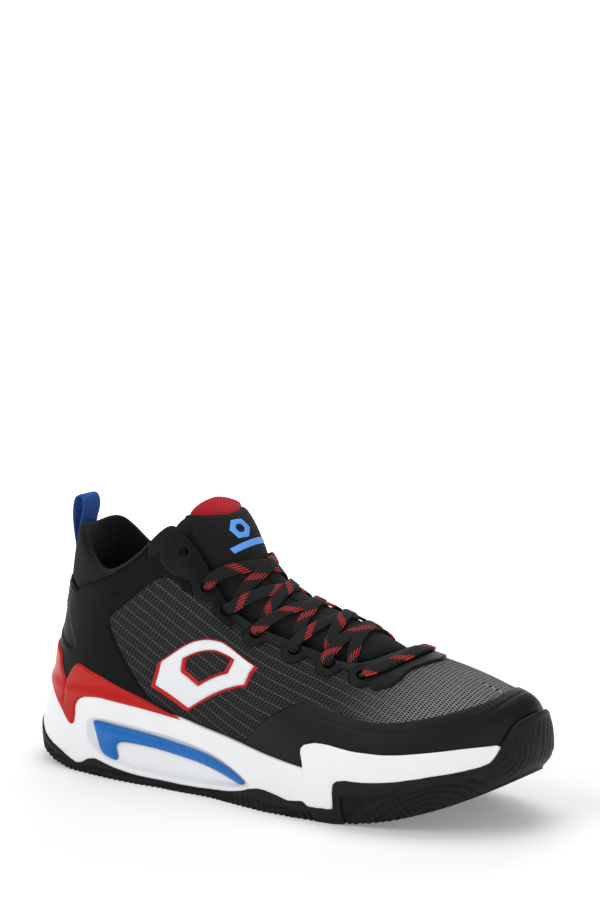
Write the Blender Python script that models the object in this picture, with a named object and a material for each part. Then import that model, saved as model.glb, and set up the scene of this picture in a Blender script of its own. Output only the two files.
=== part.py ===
"""Basketball high top, right shoe, heel at -X, toe at +X, lateral side at -Y, Z up.

The shoe is laid out in millimetres on stations round its outline: station 0 is the back of the
heel, 12 is the toe, 1 to 11 run along the lateral side and 13 to 23 come back along the medial
side. A position on the upper is (station, height): height 0 is the feather line where the upper
meets the sole, height 1 is the collar or the edge of the throat. A depth is measured outward
from the upper's face. The mesh is written in metres.
"""
import bmesh
import bpy
import numpy as np
from mathutils import Matrix, Vector

MM = 0.001
MIDDLE = (151.9, -0.9, 0.0)
TURN = 24.0
SAMPLES = 72
STEP = TURN / SAMPLES
ROWS = 10

# ---------------------------------------------------------------- sizes of the last and the sole
# station: (x, lateral y, medial y) of the sole's widest line
OUTLINE = {
    0: (-4, 0, 0), 1: (2, -21, 21), 2: (22, -37, 37), 3: (57, -43, 41), 4: (94, -41, 36),
    5: (130, -42, 35), 6: (165, -48, 41), 7: (198, -54, 49), 8: (229, -54, 53),
    9: (258, -48, 51), 10: (283, -35, 43), 11: (301, -15, 29), 12: (307, 8, 8),
}
# station: (inset from the outline, height) of the feather line
FEATHER = {
    0: (8, 26), 1: (8, 26), 2: (8, 25), 3: (7, 23), 4: (6, 22), 5: (5, 21), 6: (5, 19),
    7: (5, 18), 8: (5, 19), 9: (6, 23), 10: (7, 29), 11: (6, 36), 12: (6, 42),
}
# station: (x, lateral y, medial y, z) of the collar and of the throat's edge
TOP_LINE = {
    0: (20, 0, 0, 130.5), 1: (27, -20, 20, 132), 2: (43, -30, 30, 117), 3: (60, -34, 33, 114),
    4: (80, -33, 32, 127), 5: (99, -29, 29, 141), 6: (116, -24, 24, 124),
    7: (138, -25, 25, 98), 8: (180, -25, 25, 85.5), 9: (208, -23, 22, 79),
    10: (222, -14, 15, 82), 11: (228, -5, 9, 84.5), 12: (230, 2, 2, 85.5),
}
# station: (out, up) that the wall leaves the feather line with, then
# (out, down, slope of the out part) that it leaves the top line with
WALL = {
    0: (0, 34, -1, 30, 0), 1: (2, 34, 1, 30, 0), 2: (5, 32, 4, 28, 0), 3: (5, 30, 4, 26, 0),
    4: (5, 30, 4, 30, 0), 5: (6, 32, 6, 34, 0), 6: (6, 36, 9, 22, -0.4),
    7: (6, 30, 10, 12, -0.45), 8: (6, 26, 14, 9, -0.4), 9: (6, 22, 20, 7, -0.35),
    10: (5, 26, 30, 3, -0.34), 11: (4, 30, 40, 0, -0.28), 12: (4, 30, 46, 0, -0.27),
}
# station: (x, y, z) of the tongue's ridge, and of the tongue's lateral edge
RIDGE = {
    4.7: (103, 0, 162), 5: (109.5, 0, 155.5), 5.5: (121, 0, 146.5), 6: (132, 0, 135),
    6.5: (141, 0, 122), 7: (152, 0, 111.5), 8: (186, 0, 100), 9: (209, 0, 92.5),
    10: (221, 0, 89), 11: (228, 1, 86.8), 12: (230, 2, 85.5),
}
TONGUE_EDGE = {
    4.7: (97, -25.5, 156), 5: (103, -25.5, 149.5), 5.5: (110, -26, 137.5),
    6: (116, -24.5, 123.5), 6.5: (124.5, -25, 109), 7: (138, -25, 98), 8: (180, -25, 85.5),
    9: (208, -23, 79), 10: (222, -14, 82), 11: (228, -5, 84.5), 12: (230, 2, 85.5),
}
# station: height z of the sole's upper lip, and how far up its side the rubber comes
LIP = {
    0: 46, 1: 45, 2: 42, 3: 43.5, 4: 40.5, 5: 36, 6: 32.5, 7: 29, 7.6: 40, 8.5: 39, 9.3: 41,
    10: 43, 10.6: 45, 11: 48, 11.4: 53, 12: 56,
}
RUBBER = {
    0: 0.36, 1.2: 0.38, 2: 0.24, 2.7: 0.15, 4: 0.12, 5.2: 0.12, 6: 0.2, 7.4: 0.2, 7.8: 0.45,
    9: 0.47, 10: 0.56, 10.6: 0.74, 11: 0.92, 12: 0.92,
}
# station: how far the tread's edge is out from the sole's widest line
TREAD_EDGE = {
    0: -5, 1: -5, 1.7: -3, 2.3: 0, 2.8: 0.5, 3.3: 3.7, 3.8: 5.5, 4.6: 5.4, 5.3: 3.8, 5.8: 3.8,
    6.2: 3, 6.6: 1, 7.1: -2.4, 7.6: -3.5, 8: -5, 12: -5,
}
TOE_SPRING = (205, 30, 307)
HEEL_BEVEL = (45, 12)
LIP_THICK = 2.8
RUBBER_THICK = 2.2
TREAD_THICK = 4.0
GAP = 0.4

# ---------------------------------------------------------------- layers of the upper (depths)
SHELL = (-1.2, 0.0)
COUNTER = (-2.8, -1.6)
LINING = (-4.6, -1.6)
LINING_BEHIND = -3.2
OVERLAY = (0.4, 1.4)
CRADLE = (0.4, 2.6)
PANEL = (0.4, 1.0)
INSERT = (0.4, 1.0)
COLLAR_BOUNDARY = {0: 0.74, 1: 0.74, 1.75: 0.78, 2.25: 0.9, 2.75: 0.955, 3.3: 0.97, 5.2: 0.97}
LINING_TOP = {0: 0.58, 1.7: 0.6, 3: 0.74, 5.2: 0.77, 6: 0.78, 12: 0.8}
CRADLE_TOP = {0: 0.31, 0.8: 0.33, 2.3: 0.38, 2.9: 0.36, 3.4: 0.3, 3.9: 0.24, 4.4: 0.2}
MUDGUARD_TOP = {
    5.67: 0.13, 5.8: 0.16, 6.45: 0.31, 7.37: 0.5, 7.64: 0.54, 8.02: 0.55, 9.1: 0.48,
    10.2: 0.42, 11: 0.37, 12: 0.35,
}
EYESTAY_LOW = {
    5: 0.8, 5.6: 0.71, 6.25: 0.79, 7: 0.81, 7.7: 0.82, 8.3: 0.78, 9: 0.74, 10.2: 0.74, 12: 0.74,
}
# each eyelet: station, height, and the station where its lace crosses the throat's edge
EYELETS = [(9.2, 0.885, 9.05), (8.45, 0.93, 8.45), (7.85, 0.935, 7.87), (7.28, 0.94, 7.35),
           (6.62, 0.905, 6.85), (5.9, 0.85, 6.26), (5.3, 0.915, 5.5)]
EYELET_R = 3.1
PANEL_CORNERS = [(3.95, 0.3), (4.17, 0.42), (5.96, 0.6), (6.99, 0.66), (6.23, 0.42), (4.6, 0.18)]

LACE_WIDTH = 6.6
LACE_THICK = 1.2
LACE_NECK = 4.0
TAB_WIDTH = 15.0
TAB_THICK = 1.2


# ---------------------------------------------------------------- curves
def table_spline(table, period=None):
    """Smooth curve through the rows of a table keyed by station."""
    keys = np.array(sorted(table), float)
    rows = np.array([np.atleast_1d(table[k]) for k in sorted(table)], float)
    if period:
        keys = np.append(keys, keys[0] + period)
        rows = np.vstack([rows, rows[:1]])
    width = np.diff(keys)
    slope = np.diff(rows, axis=0) / width[:, None]
    count = len(keys)
    system = np.eye(count)
    right = np.zeros_like(rows)
    for i in range(1, count - 1):
        system[i, i - 1:i + 2] = width[i - 1], 2 * (width[i - 1] + width[i]), width[i]
        right[i] = 6 * (slope[i] - slope[i - 1])
    if period:
        system[0, [0, 1, -2]] = 2 * (width[0] + width[-1]), width[0], width[-1]
        system[0, -1] = 0
        right[0] = 6 * (slope[0] - slope[-1])
        system[-1, 0] = -1
    bend = np.linalg.solve(system, right)

    def curve(station):
        station = np.asarray(station, float)
        flat = station.ravel()
        if period:
            flat = keys[0] + np.mod(flat - keys[0], period)
        else:
            flat = np.clip(flat, keys[0], keys[-1])
        i = np.clip(np.searchsorted(keys, flat, side="right") - 1, 0, count - 2)
        after = (flat - keys[i])[:, None]
        span = width[i][:, None]
        before = span - after
        value = (bend[i] * before ** 3 + bend[i + 1] * after ** 3) / (6 * span)
        value += (rows[i] / span - bend[i] * span / 6) * before
        value += (rows[i + 1] / span - bend[i + 1] * span / 6) * after
        return value.reshape(station.shape + (rows.shape[1],))
    return curve


def both_sides(table, pick):
    """Mirror a lateral table to the whole turn; pick(row, side) gives the values of one side."""
    whole = {k: pick(np.atleast_1d(row), -1) for k, row in table.items()}
    for k, row in table.items():
        if 0 < k < TURN / 2:
            whole[TURN - k] = pick(np.atleast_1d(row), 1)
    return whole


def level(table, station):
    """Straight-line value of a table, the same on both sides."""
    side = np.minimum(np.mod(station, TURN), TURN - np.mod(station, TURN))
    keys = sorted(table)
    return np.interp(side, keys, [table[k] for k in keys])


def unit(vector):
    return vector / np.maximum(np.linalg.norm(vector, axis=-1, keepdims=True), 1e-9)


def bezier(a, b, c, d, t):
    t = np.asarray(t, float)[..., None]
    s = 1 - t
    return s ** 3 * a + 3 * s * s * t * b + 3 * s * t * t * c + t ** 3 * d


outline = table_spline(both_sides(OUTLINE, lambda r, s: (r[0], r[1] if s < 0 else r[2])), TURN)
feather = table_spline(both_sides(FEATHER, lambda r, s: tuple(r)), TURN)
top_line = table_spline(
    both_sides(TOP_LINE, lambda r, s: (r[0], r[1] if s < 0 else r[2], r[3])), TURN)
wall = table_spline(both_sides(WALL, lambda r, s: tuple(r)), TURN)
ridge = table_spline(RIDGE)
tongue_edge = table_spline(TONGUE_EDGE)


def outward(station):
    """Flat outward direction of the sole's outline."""
    along = outline(station + 0.02) - outline(station - 0.02)
    return unit(np.stack([along[..., 1], -along[..., 0]], -1))


def ground(x):
    """Height of the tread's underside: toe spring and heel bevel."""
    start, rise, tip = TOE_SPRING
    toe = rise * (np.maximum(x - start, 0) / (tip - start)) ** 2
    end, lift = HEEL_BEVEL
    return toe + lift * (np.maximum(end - x, 0) / end) ** 2


# ---------------------------------------------------------------- the upper's face
def wall_curve(station, t):
    """Point of the upper at bezier parameter t."""
    station = np.asarray(station, float)
    out = outward(station)
    inset = feather(station)
    leave = wall(station)
    low = np.concatenate([outline(station) - out * inset[..., :1], inset[..., 1:2]], -1)
    high = top_line(station)
    rise = np.concatenate([out * leave[..., :1], leave[..., 1:2]], -1)
    away = unit((low - high)[..., :2] + out * 30)
    drop = away[..., :1] * leave[..., 2:3] * leave[..., 4:5] - leave[..., 3:4]
    fall = np.concatenate([away * leave[..., 2:3], drop], -1)
    return bezier(low, low + rise, high + fall, high, t)


ARC_STATIONS = np.linspace(0, TURN, 289)
ARC_STEPS = np.linspace(0, 1, 49)


def arc_table():
    """Bezier parameter for each station and each fraction of the wall's length."""
    at, t = np.meshgrid(ARC_STATIONS, ARC_STEPS, indexing="ij")
    run = np.cumsum(np.linalg.norm(np.diff(wall_curve(at, t), axis=1), axis=2), axis=1)
    run = np.concatenate([np.zeros((len(run), 1)), run], 1)
    run /= run[:, -1:]
    return np.array([np.interp(ARC_STEPS, row, ARC_STEPS) for row in run])


ARC = arc_table()


def parameter(station, height):
    column = np.mod(station, TURN) / TURN * (len(ARC_STATIONS) - 1)
    i = np.minimum(column.astype(int), len(ARC_STATIONS) - 2)
    column = column - i
    inside = np.clip(height, 0, 1)
    row = inside * (len(ARC_STEPS) - 1)
    j = np.minimum(row.astype(int), len(ARC_STEPS) - 2)
    row = row - j
    near = ARC[i, j] * (1 - column) + ARC[i + 1, j] * column
    far = ARC[i, j + 1] * (1 - column) + ARC[i + 1, j + 1] * column
    return near * (1 - row) + far * row + height - inside


def face(point, station, height, depth, e=0.03, f=0.01):
    """Points of a surface moved outward by depth."""
    along = point(station + e, height) - point(station - e, height)
    across = point(station, height + f) - point(station, height - f)
    out = unit(np.cross(along, across))
    return point(station, height) + out * np.asarray(depth, float)[..., None]


def upper(station, height, depth=0.0):
    station, height, depth = np.broadcast_arrays(
        np.asarray(station, float), np.asarray(height, float), np.asarray(depth, float))
    t = parameter(station, height)
    return face(wall_curve, station, t, depth)


def height_at(station, z):
    """Height on the upper's face where it passes level z."""
    heights = np.linspace(0, 0.9, 91)
    station, z = np.broadcast_arrays(np.asarray(station, float), np.asarray(z, float))
    found = [np.interp(b, upper(np.full(91, a), heights)[:, 2], heights)
             for a, b in zip(station.ravel(), z.ravel())]
    return np.array(found).reshape(station.shape)


LIP_STATIONS = np.linspace(0, TURN, 97)
LIP_HEIGHTS = height_at(LIP_STATIONS, level(LIP, LIP_STATIONS))


def lip_height(station):
    return np.interp(np.mod(station, TURN), LIP_STATIONS, LIP_HEIGHTS)


def side_curve(station, w):
    """Sole's side: w is 0 at the tread's edge and 1 at the lip."""
    out = outward(station)
    edge = outline(station)
    base = ground(edge[..., 0])
    lip = upper(station, lip_height(station), LIP_THICK)
    under = upper(station, lip_height(station) - 0.06, LIP_THICK + 1.2)
    tall = lip[..., 2] - base
    low = np.concatenate([edge + out * level(TREAD_EDGE, station)[..., None], base[..., None]], -1)
    bulge = np.concatenate([edge + out * 2.5, (base + tall * 0.3)[..., None]], -1)
    return bezier(low, bulge, lip + (under - lip) * 2, lip, w)


def side(station, w, depth=0.0):
    station, w, depth = np.broadcast_arrays(
        np.asarray(station, float), np.asarray(w, float), np.asarray(depth, float))
    return face(side_curve, station, w, depth)


def tongue_curve(station, across):
    """Tongue's face: across is 0 at the lateral edge and 1 at the medial edge."""
    lateral = tongue_edge(station)
    middle = ridge(station)
    medial = lateral * np.array([1, -1, 1]) + middle * np.array([0, 2, 0])
    pull = np.array([4 / 3, 0.28, 4 / 3])
    return bezier(lateral, lateral + (middle - lateral) * pull,
                  medial + (middle - medial) * pull, medial, across)


def tongue(station, across, depth=0.0):
    station, across, depth = np.broadcast_arrays(
        np.asarray(station, float), np.asarray(across, float), np.asarray(depth, float))
    return face(tongue_curve, station, across, depth)


# ---------------------------------------------------------------- mesh builders
def material(name, colour, rough):
    made = bpy.data.materials.new(name)
    made.use_nodes = True
    shader = made.node_tree.nodes["Principled BSDF"]
    shader.inputs["Base Color"].default_value = (*colour, 1)
    shader.inputs["Roughness"].default_value = rough
    made.diffuse_color = (*colour, 1)
    return made


def add(name, points, faces, colour, rough=0.7, smooth=True, origin=(0, 0, 0)):
    """Object from points in millimetres, with its origin at a point of the shoe."""
    mesh = bpy.data.meshes.new(name)
    shift = np.array(MIDDLE)
    points = (np.asarray(points, float).reshape(-1, 3) - shift) * MM
    start = (np.array(origin, float) - shift) * MM if any(origin) else np.zeros(3)
    mesh.from_pydata([tuple(p - start) for p in points], [], faces)
    work = bmesh.new()
    work.from_mesh(mesh)
    bmesh.ops.remove_doubles(work, verts=work.verts, dist=1e-6)
    bmesh.ops.recalc_face_normals(work, faces=work.faces)
    bmesh.ops.triangulate(work, faces=work.faces)
    if work.calc_volume(signed=True) < 0:
        bmesh.ops.reverse_faces(work, faces=work.faces)
    work.to_mesh(mesh)
    work.free()
    mesh.polygons.foreach_set("use_smooth", [smooth] * len(mesh.polygons))
    mesh.materials.append(material(name, colour, rough))
    made = bpy.data.objects.new(name, mesh)
    made.location = Vector(start)
    bpy.context.collection.objects.link(made)
    return made


def grid_faces(rows, columns, closed, first=0):
    """Quads of a grid; closed joins the last row to the first."""
    quads = []
    for i in range(rows if closed else rows - 1):
        for j in range(columns - 1):
            a = first + i * columns + j
            b = first + (i + 1) % rows * columns + j
            quads.append((a, b, b + 1, a + 1))
    return quads


def sheet(name, surface, stations, heights, depths, colour, rough=0.7, closed=False, origin=(0, 0, 0)):
    """Solid sheet between two depths of a surface over a grid of stations and heights."""
    rows, columns = heights.shape
    grid = np.broadcast_to(np.asarray(stations, float).reshape(rows, -1), heights.shape)
    inner = surface(grid, heights, depths[0])
    outer = surface(grid, heights, depths[1])
    size = rows * columns
    faces = grid_faces(rows, columns, closed) + grid_faces(rows, columns, closed, size)
    for i in range(rows if closed else rows - 1):
        for j in (0, columns - 1):
            a = i * columns + j
            b = (i + 1) % rows * columns + j
            faces.append((a, b, b + size, a + size))
    if not closed:
        for i in (0, rows - 1):
            for j in range(columns - 1):
                a = i * columns + j
                faces.append((a, a + 1, a + 1 + size, a + size))
    points = np.concatenate([inner.reshape(-1, 3), outer.reshape(-1, 3)])
    return add(name, points, faces, colour, rough, origin=origin)


def between(low, high, rows):
    """Grid of heights from low to high with the same inner rows for every layer of the upper."""
    low = np.asarray(low, float)[:, None]
    high = np.asarray(high, float)[:, None]
    return low + (high - low) * np.linspace(0, 1, rows + 1)


def dish(name, rings, colour, rough=0.7):
    """Solid of rings round the shoe, its first and last ring each closed straight across."""
    points = np.concatenate(rings)
    faces = []
    for r in range(len(rings) - 1):
        for i in range(SAMPLES):
            a = r * SAMPLES + i
            b = r * SAMPLES + (i + 1) % SAMPLES
            faces.append((a, b, b + SAMPLES, a + SAMPLES))
    for r in (0, len(rings) - 1):
        first = r * SAMPLES
        for i in range(SAMPLES // 2):
            near = (first + i, first + i + 1)
            far = (first + (SAMPLES - i - 1) % SAMPLES, first + (SAMPLES - i) % SAMPLES)
            faces.append(tuple(dict.fromkeys(near + far)))
    return add(name, points, faces, colour, rough)


def span(first, last):
    """Stations from first to last on the shared steps, with both ends."""
    inner = np.arange(np.ceil(first / STEP + 1e-6), np.floor(last / STEP - 1e-6) + 1) * STEP
    return np.concatenate([[first], inner, [last]])


def sweep(name, rings, colour, rough=0.7, origin=(0, 0, 0)):
    """Solid of equal rings one after another, closed at both ends."""
    rings = np.asarray(rings)
    count, around = rings.shape[:2]
    faces = []
    for r in range(count - 1):
        for i in range(around):
            a = r * around + i
            b = r * around + (i + 1) % around
            faces.append((a, b, b + around, a + around))
    faces.append(tuple(range(around)))
    faces.append(tuple(range((count - 1) * around, count * around)))
    return add(name, rings.reshape(-1, 3), faces, colour, rough, origin=origin)


def cut(target, cutter):
    """Take a cutter's volume out of a solid."""
    cutter.hide_render = True
    cutter.display_type = "WIRE"
    change = target.modifiers.new("cut", "BOOLEAN")
    change.operation = "DIFFERENCE"
    change.solver = "EXACT"
    change.object = cutter
    bpy.context.view_layer.update()
    cut_mesh = bpy.data.meshes.new_from_object(
        target.evaluated_get(bpy.context.evaluated_depsgraph_get()))
    target.modifiers.clear()
    target.data = cut_mesh
    bpy.data.objects.remove(cutter)


def peg(centre, direction, radius, length, sides=12):
    """Round cutter centred on a point of the shoe."""
    turn = Vector(direction).to_track_quat("Z", "Y").to_matrix()
    rings = []
    for end in (-0.5, 0.5):
        ring = []
        for i in range(sides):
            angle = 2 * np.pi * i / sides
            flat = Vector((radius * np.cos(angle), radius * np.sin(angle), end * length))
            ring.append(np.array(centre) + np.array(turn @ flat))
        rings.append(ring)
    return sweep("peg", rings, (0, 0, 0))


def box(name, low, high, colour, rough=0.7):
    low, high = np.array(low, float), np.array(high, float)
    rings = [[(x, low[1], low[2]), (x, high[1], low[2]), (x, high[1], high[2]), (x, low[1], high[2])]
             for x in (low[0], high[0])]
    return sweep(name, rings, colour, rough)


# ---------------------------------------------------------------- the scene
for old in list(bpy.data.objects):
    bpy.data.objects.remove(old)

BLACK = (0.025, 0.027, 0.028)
GREY = (0.06, 0.062, 0.064)
WHITE = (0.85, 0.85, 0.84)
RED = (0.5, 0.02, 0.025)
BLUE = (0.03, 0.14, 0.5)
SKY = (0.1, 0.32, 0.72)
FOAM = (0.5, 0.5, 0.48)

ring = np.arange(SAMPLES) * STEP


# ---------------------------------------------------------------- sole
def rubber_depth(w):
    """Inner face of the rubber, thinner towards the toe bumper's rim."""
    return -RUBBER_THICK + 1.3 * np.clip((w - 0.6) / 0.4, 0, 1)


rubber_top = level(RUBBER, ring)
tread = ground(outline(ring)[:, 0]) + TREAD_THICK
tread_edge = np.minimum(rubber_top * 0.5, 0.1)
rubber_rings = [side(ring, 0.0)]
rubber_rings += [side(ring, rubber_top * f) for f in (0.33, 0.67, 1.0)]
for f in (1.0, 0.67, 0.4):
    w = np.maximum(rubber_top * f, tread_edge + 0.02)
    rubber_rings.append(side(ring, w, rubber_depth(w)))
floor_ring = side(ring, tread_edge, -RUBBER_THICK)
floor_ring[:, 2] = np.minimum(tread, floor_ring[:, 2] + TREAD_THICK)
rubber_rings.append(floor_ring)
dish("outsole", rubber_rings, BLACK, 0.8)

foam_base = floor_ring + [0, 0, GAP]
foam_base[:, :2] -= outward(ring) * GAP
foam_rings = [foam_base]
for f in (0.4, 0.67, 1.0):
    w = np.maximum(rubber_top * f, tread_edge + 0.03)
    foam_rings.append(side(ring, w, rubber_depth(w) - GAP))
start = rubber_top + 0.02
foam_rings += [side(ring, start + (1 - start) * f) for f in (0.0, 0.35, 0.7, 1.0)]
cup_v = lip_height(ring)
foam_rings += [upper(ring, cup_v * f, GAP) for f in (1.0, 0.5, 0.0)]
cup_floor = upper(ring, 0.0, GAP)
cup_floor[:, 2] -= GAP
foam_rings.append(cup_floor)
midsole = dish("midsole", foam_rings, WHITE, 0.6)

SHANK = ((88, -15, TREAD_THICK + 0.9), (172, 13, TREAD_THICK + 2.9))
pocket = box("pocket", np.array(SHANK[0]) - (0.4, 0.4, 3), np.array(SHANK[1]) + 0.4, FOAM)
cut(midsole, pocket)
box("shank_plate", SHANK[0], SHANK[1], GREY, 0.4)

board = upper(ring, 0.0, SHELL[0] - GAP)
lift = [0, 0, 1.2]
dish("strobel_board", [board, board + lift], FOAM, 0.9)
sock_edge = upper(ring, 0.02, LINING[0] - GAP)
sock_edge[:, 2] = board[:, 2] + 1.2 + GAP
dish("sockliner", [sock_edge, sock_edge + [0, 0, 4.5]], BLACK, 0.9)


# ---------------------------------------------------------------- upper
def whole(low, high, rows=ROWS):
    return between(np.broadcast_to(low, ring.shape), high, rows)


side_ring = np.minimum(ring, TURN - ring)
shell_top = np.where(side_ring <= 5.2, level(COLLAR_BOUNDARY, ring) - 0.005, 0.985)
shell = sheet("upper_shell", upper, ring, whole(0.0, shell_top), SHELL, GREY, 0.9, closed=True)
lining_top = level(LINING_TOP, ring)
behind = (side_ring <= 2.34) | (side_ring >= 9.66)
lining_face = np.where(behind, LINING_BEHIND, LINING[1])[:, None]
sheet("lining", upper, ring, whole(0.03, lining_top), (LINING[0], lining_face), BLACK, 0.95,
      closed=True)


def backing(name, first, last, low, high, rows, colour):
    """Stiffener between the shell and the lining."""
    stations = span(first, last)
    heights = between(np.full(len(stations), low), np.full(len(stations), high), rows)
    sheet(name, upper, stations, heights, COUNTER, colour, 0.5)


backing("heel_counter", -2.0, 2.0, 0.02, 0.5, 5, FOAM)
backing("toe_puff", 10.0, 14.0, 0.02, 0.3, 3, FOAM)


def overlay(name, first, last, low, high, rows, depths, colour, rough=0.5):
    """Film on the outside of the shell; low and high are functions of station."""
    stations = span(first, last)
    heights = between(low(stations), high(stations), rows)
    return sheet(name, upper, stations, heights, depths, colour, rough)


def above_lip(stations):
    return lip_height(stations) + 0.02


overlay("mudguard", 5.75, TURN - 5.75, above_lip, lambda s: level(MUDGUARD_TOP, s), 4, OVERLAY,
        BLACK)
overlay("heel_cradle", -4.33, 4.33, above_lip, lambda s: level(CRADLE_TOP, s), 2, CRADLE, RED)
overlay("heel_overlay", -2.8, 2.8, lambda s: level(CRADLE_TOP, s) + 0.02,
        lambda s: level(COLLAR_BOUNDARY, s) - 0.02, 4, OVERLAY, BLACK)
eyestay = overlay("eyestay", 5.0, TURN - 5.0, lambda s: level(EYESTAY_LOW, s),
                  lambda s: np.full(len(s), 0.985), 3, OVERLAY, BLACK)
for station, height, edge in EYELETS:
    for at in (station, TURN - station):
        centre = upper(at, height)
        out = upper(at, height, 1.0) - centre
        for target in (shell, eyestay):
            cut(target, peg(centre, out, EYELET_R, 8))


# ---------------------------------------------------------------- collar
def collar_ring(station):
    """Cross-section of the padded collar at one station, as points (height, depth)."""
    low = level(LINING_TOP, station) + 0.01
    seam = level(COLLAR_BOUNDARY, station)
    shape = [(low, -7.4), (low, -1.6), (seam - 0.004, -1.6), (seam + 0.004, -0.1),
             ((seam + 1) / 2, 0.0), (1.0, -0.9), (1.012, -2.6), (1.012, -5.0), (1.0, -6.6),
             ((low + 1) / 2, -7.4)]
    heights, depths = np.array(shape).T
    return upper(np.full(len(heights), station), heights, depths)


sweep("collar_pad", [collar_ring(s) for s in span(-4.9, 4.9)], BLACK, 0.95)


# ---------------------------------------------------------------- tongue
def tongue_face(across):
    """Depth of the tongue's face: it dips at the edges to pass under the eyestay."""
    return -1.65 - 2.6 * np.abs(2 * across - 1) ** 4


def seam_station(across):
    return 6.3 - 0.35 * (2 * across - 1) ** 2


across = np.linspace(-0.08, 1.08, 11)
low_rows = []
for part in np.linspace(0, 1, 15):
    stations = seam_station(across) + 0.03 + (11.2 - seam_station(across)) * part
    low_rows.append(stations)
low_rows = np.array(low_rows)
narrow = 1 - 0.1 * (low_rows > 10)
spread = 0.5 + (np.broadcast_to(across, low_rows.shape) - 0.5) * narrow
sheet("tongue_lower", lambda s, a, d: tongue(s, a, d), low_rows, spread,
      (tongue_face(spread) - 3.6, tongue_face(spread)), BLACK, 0.9)

HINGE = (137.5, 0.0, 127.0)
flap_across = np.linspace(0.08, 0.92, 9)


def flap_rows(first, rows, stop=0.0):
    end = seam_station(flap_across) - stop
    return first + (end - first) * np.linspace(0, 1, rows + 1)[:, None]


flap_grid = flap_rows(5.3, 5)
flap_wide = np.broadcast_to(flap_across, flap_grid.shape)
sheet("tongue_top", tongue, flap_grid, flap_wide, (-5.0, tongue_face(flap_wide)), BLACK, 0.9,
      origin=HINGE)


def lining_ring(a):
    """Cross-section along the tongue: over the top edge and down the inside."""
    end = float(seam_station(a))
    front = float(tongue_face(a))
    shape = [(5.27, front), (5.1, front), (5.02, front - 1.2), (5.02, -5.2), (5.1, -6.6),
             (end, -6.6), (end, -5.4), (5.27, -5.4)]
    stations, depths = np.array(shape).T
    return tongue(stations, np.full(len(stations), a), depths)


sweep("tongue_lining", [lining_ring(a) for a in flap_across], RED, 0.9, origin=HINGE)

mark_angle = np.linspace(0, 2 * np.pi, 7)[:-1] + 0.35


def ring_band(name, surface, centre, reach, scales, depths, colour, spin=mark_angle, origin=(0, 0, 0)):
    """Six-sided ring on a surface: scales are the inner and outer share of reach."""
    count = len(spin)
    corners = np.stack([np.cos(spin) * reach[0], np.sin(spin) * reach[1]], -1)
    closed = np.concatenate([corners, corners[:1]])
    edge = np.concatenate([closed[i] + (closed[i + 1] - closed[i]) * np.linspace(0, 1, 5)[:-1, None]
                           for i in range(count)])
    stations = centre[0] + edge[:, :1] * np.array(scales)
    heights = centre[1] + edge[:, 1:] * np.array(scales)
    sheet(name, surface, stations, heights, depths, colour, closed=True, origin=origin)


ring_band("tongue_mark", tongue, (5.78, 0.41), (0.2, 0.11), (0.45, 1.0), (-1.2, -0.7), SKY,
          origin=HINGE)
bar_s = np.linspace(6.03, 6.14, 2)[:, None] + np.zeros(7)
bar_a = np.broadcast_to(np.linspace(0.22, 0.66, 7), bar_s.shape)
sheet("tongue_bar", tongue, bar_s, bar_a, (-1.2, -0.7), SKY, origin=HINGE)
strap_s = np.linspace(6.7, 7.5, 9)[:, None] + np.zeros(3)
strap_a = np.broadcast_to(np.linspace(0.4, 0.6, 3), strap_s.shape)
sheet("lace_keeper", tongue, strap_s, strap_a, (-1.15, -0.75), GREY)


# ---------------------------------------------------------------- side panels and inserts
def panel_band(name, mirror, scales, depths, colour):
    """Ring of the six-cornered panel between two shares of its size."""
    corners = np.array(PANEL_CORNERS)
    centre = corners.mean(0)
    closed = np.concatenate([corners, corners[:1]])
    edge = np.concatenate([closed[i] + (closed[i + 1] - closed[i]) * np.linspace(0, 1, 7)[:-1, None]
                           for i in range(6)])
    rows = centre + (edge - centre)[:, None, :] * np.linspace(*scales, 3)[None, :, None]
    stations = TURN - rows[..., 0] if mirror else rows[..., 0]
    sheet(name, upper, stations, rows[..., 1], depths, colour, closed=True)


def insert(name, mirror):
    """Curved blue blade on the midsole's side."""
    stations = span(3.0, 6.33)
    top = np.interp(stations, [3.0, 3.6, 4.33, 5.1, 5.9, 6.33], [0.64, 0.63, 0.58, 0.48, 0.38, 0.34])
    low = np.interp(stations, [3.0, 3.1, 3.2, 3.33, 3.4, 4.12, 4.88, 5.53, 6.33],
                    [0.5, 0.35, 0.27, 0.27, 0.48, 0.41, 0.36, 0.33, 0.31])
    heights = between(low, top, 2)
    if mirror:
        stations = TURN - stations
    sheet(name, side, stations, heights, INSERT, BLUE, 0.4)


for name, mirror in (("lateral", False), ("medial", True)):
    panel_band("side_border_" + name, mirror, (0.93, 1.0), OVERLAY, RED)
    panel_band("side_panel_" + name, mirror, (0.51, 0.915), PANEL, WHITE)
    panel_band("side_rim_" + name, mirror, (0.42, 0.495), OVERLAY, RED)
    insert("insert_" + name, mirror)


# ---------------------------------------------------------------- lace
# share of the way over the tongue: (lift of an under band, lift of an over band)
BAND_LIFT = {
    0.1: (1.9, 1.9), 0.2: (1.8, 1.8), 0.3: (1.75, 2.1), 0.4: (1.75, 2.9), 0.5: (1.75, 3.4),
    0.6: (1.85, 3.5), 0.7: (2.4, 3.6), 0.8: (3.3, 4.0), 0.9: (4.6, 4.8),
}


def stop(surface, station, height, depth, width):
    """One point of the lace's route, the outward direction there and the lace's width."""
    point = surface(float(station), float(height), depth)
    out = unit(surface(float(station), float(height), depth + 0.5) - point)
    return point, out, width


def on_side(station, medial):
    return TURN - station if medial else station


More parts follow.
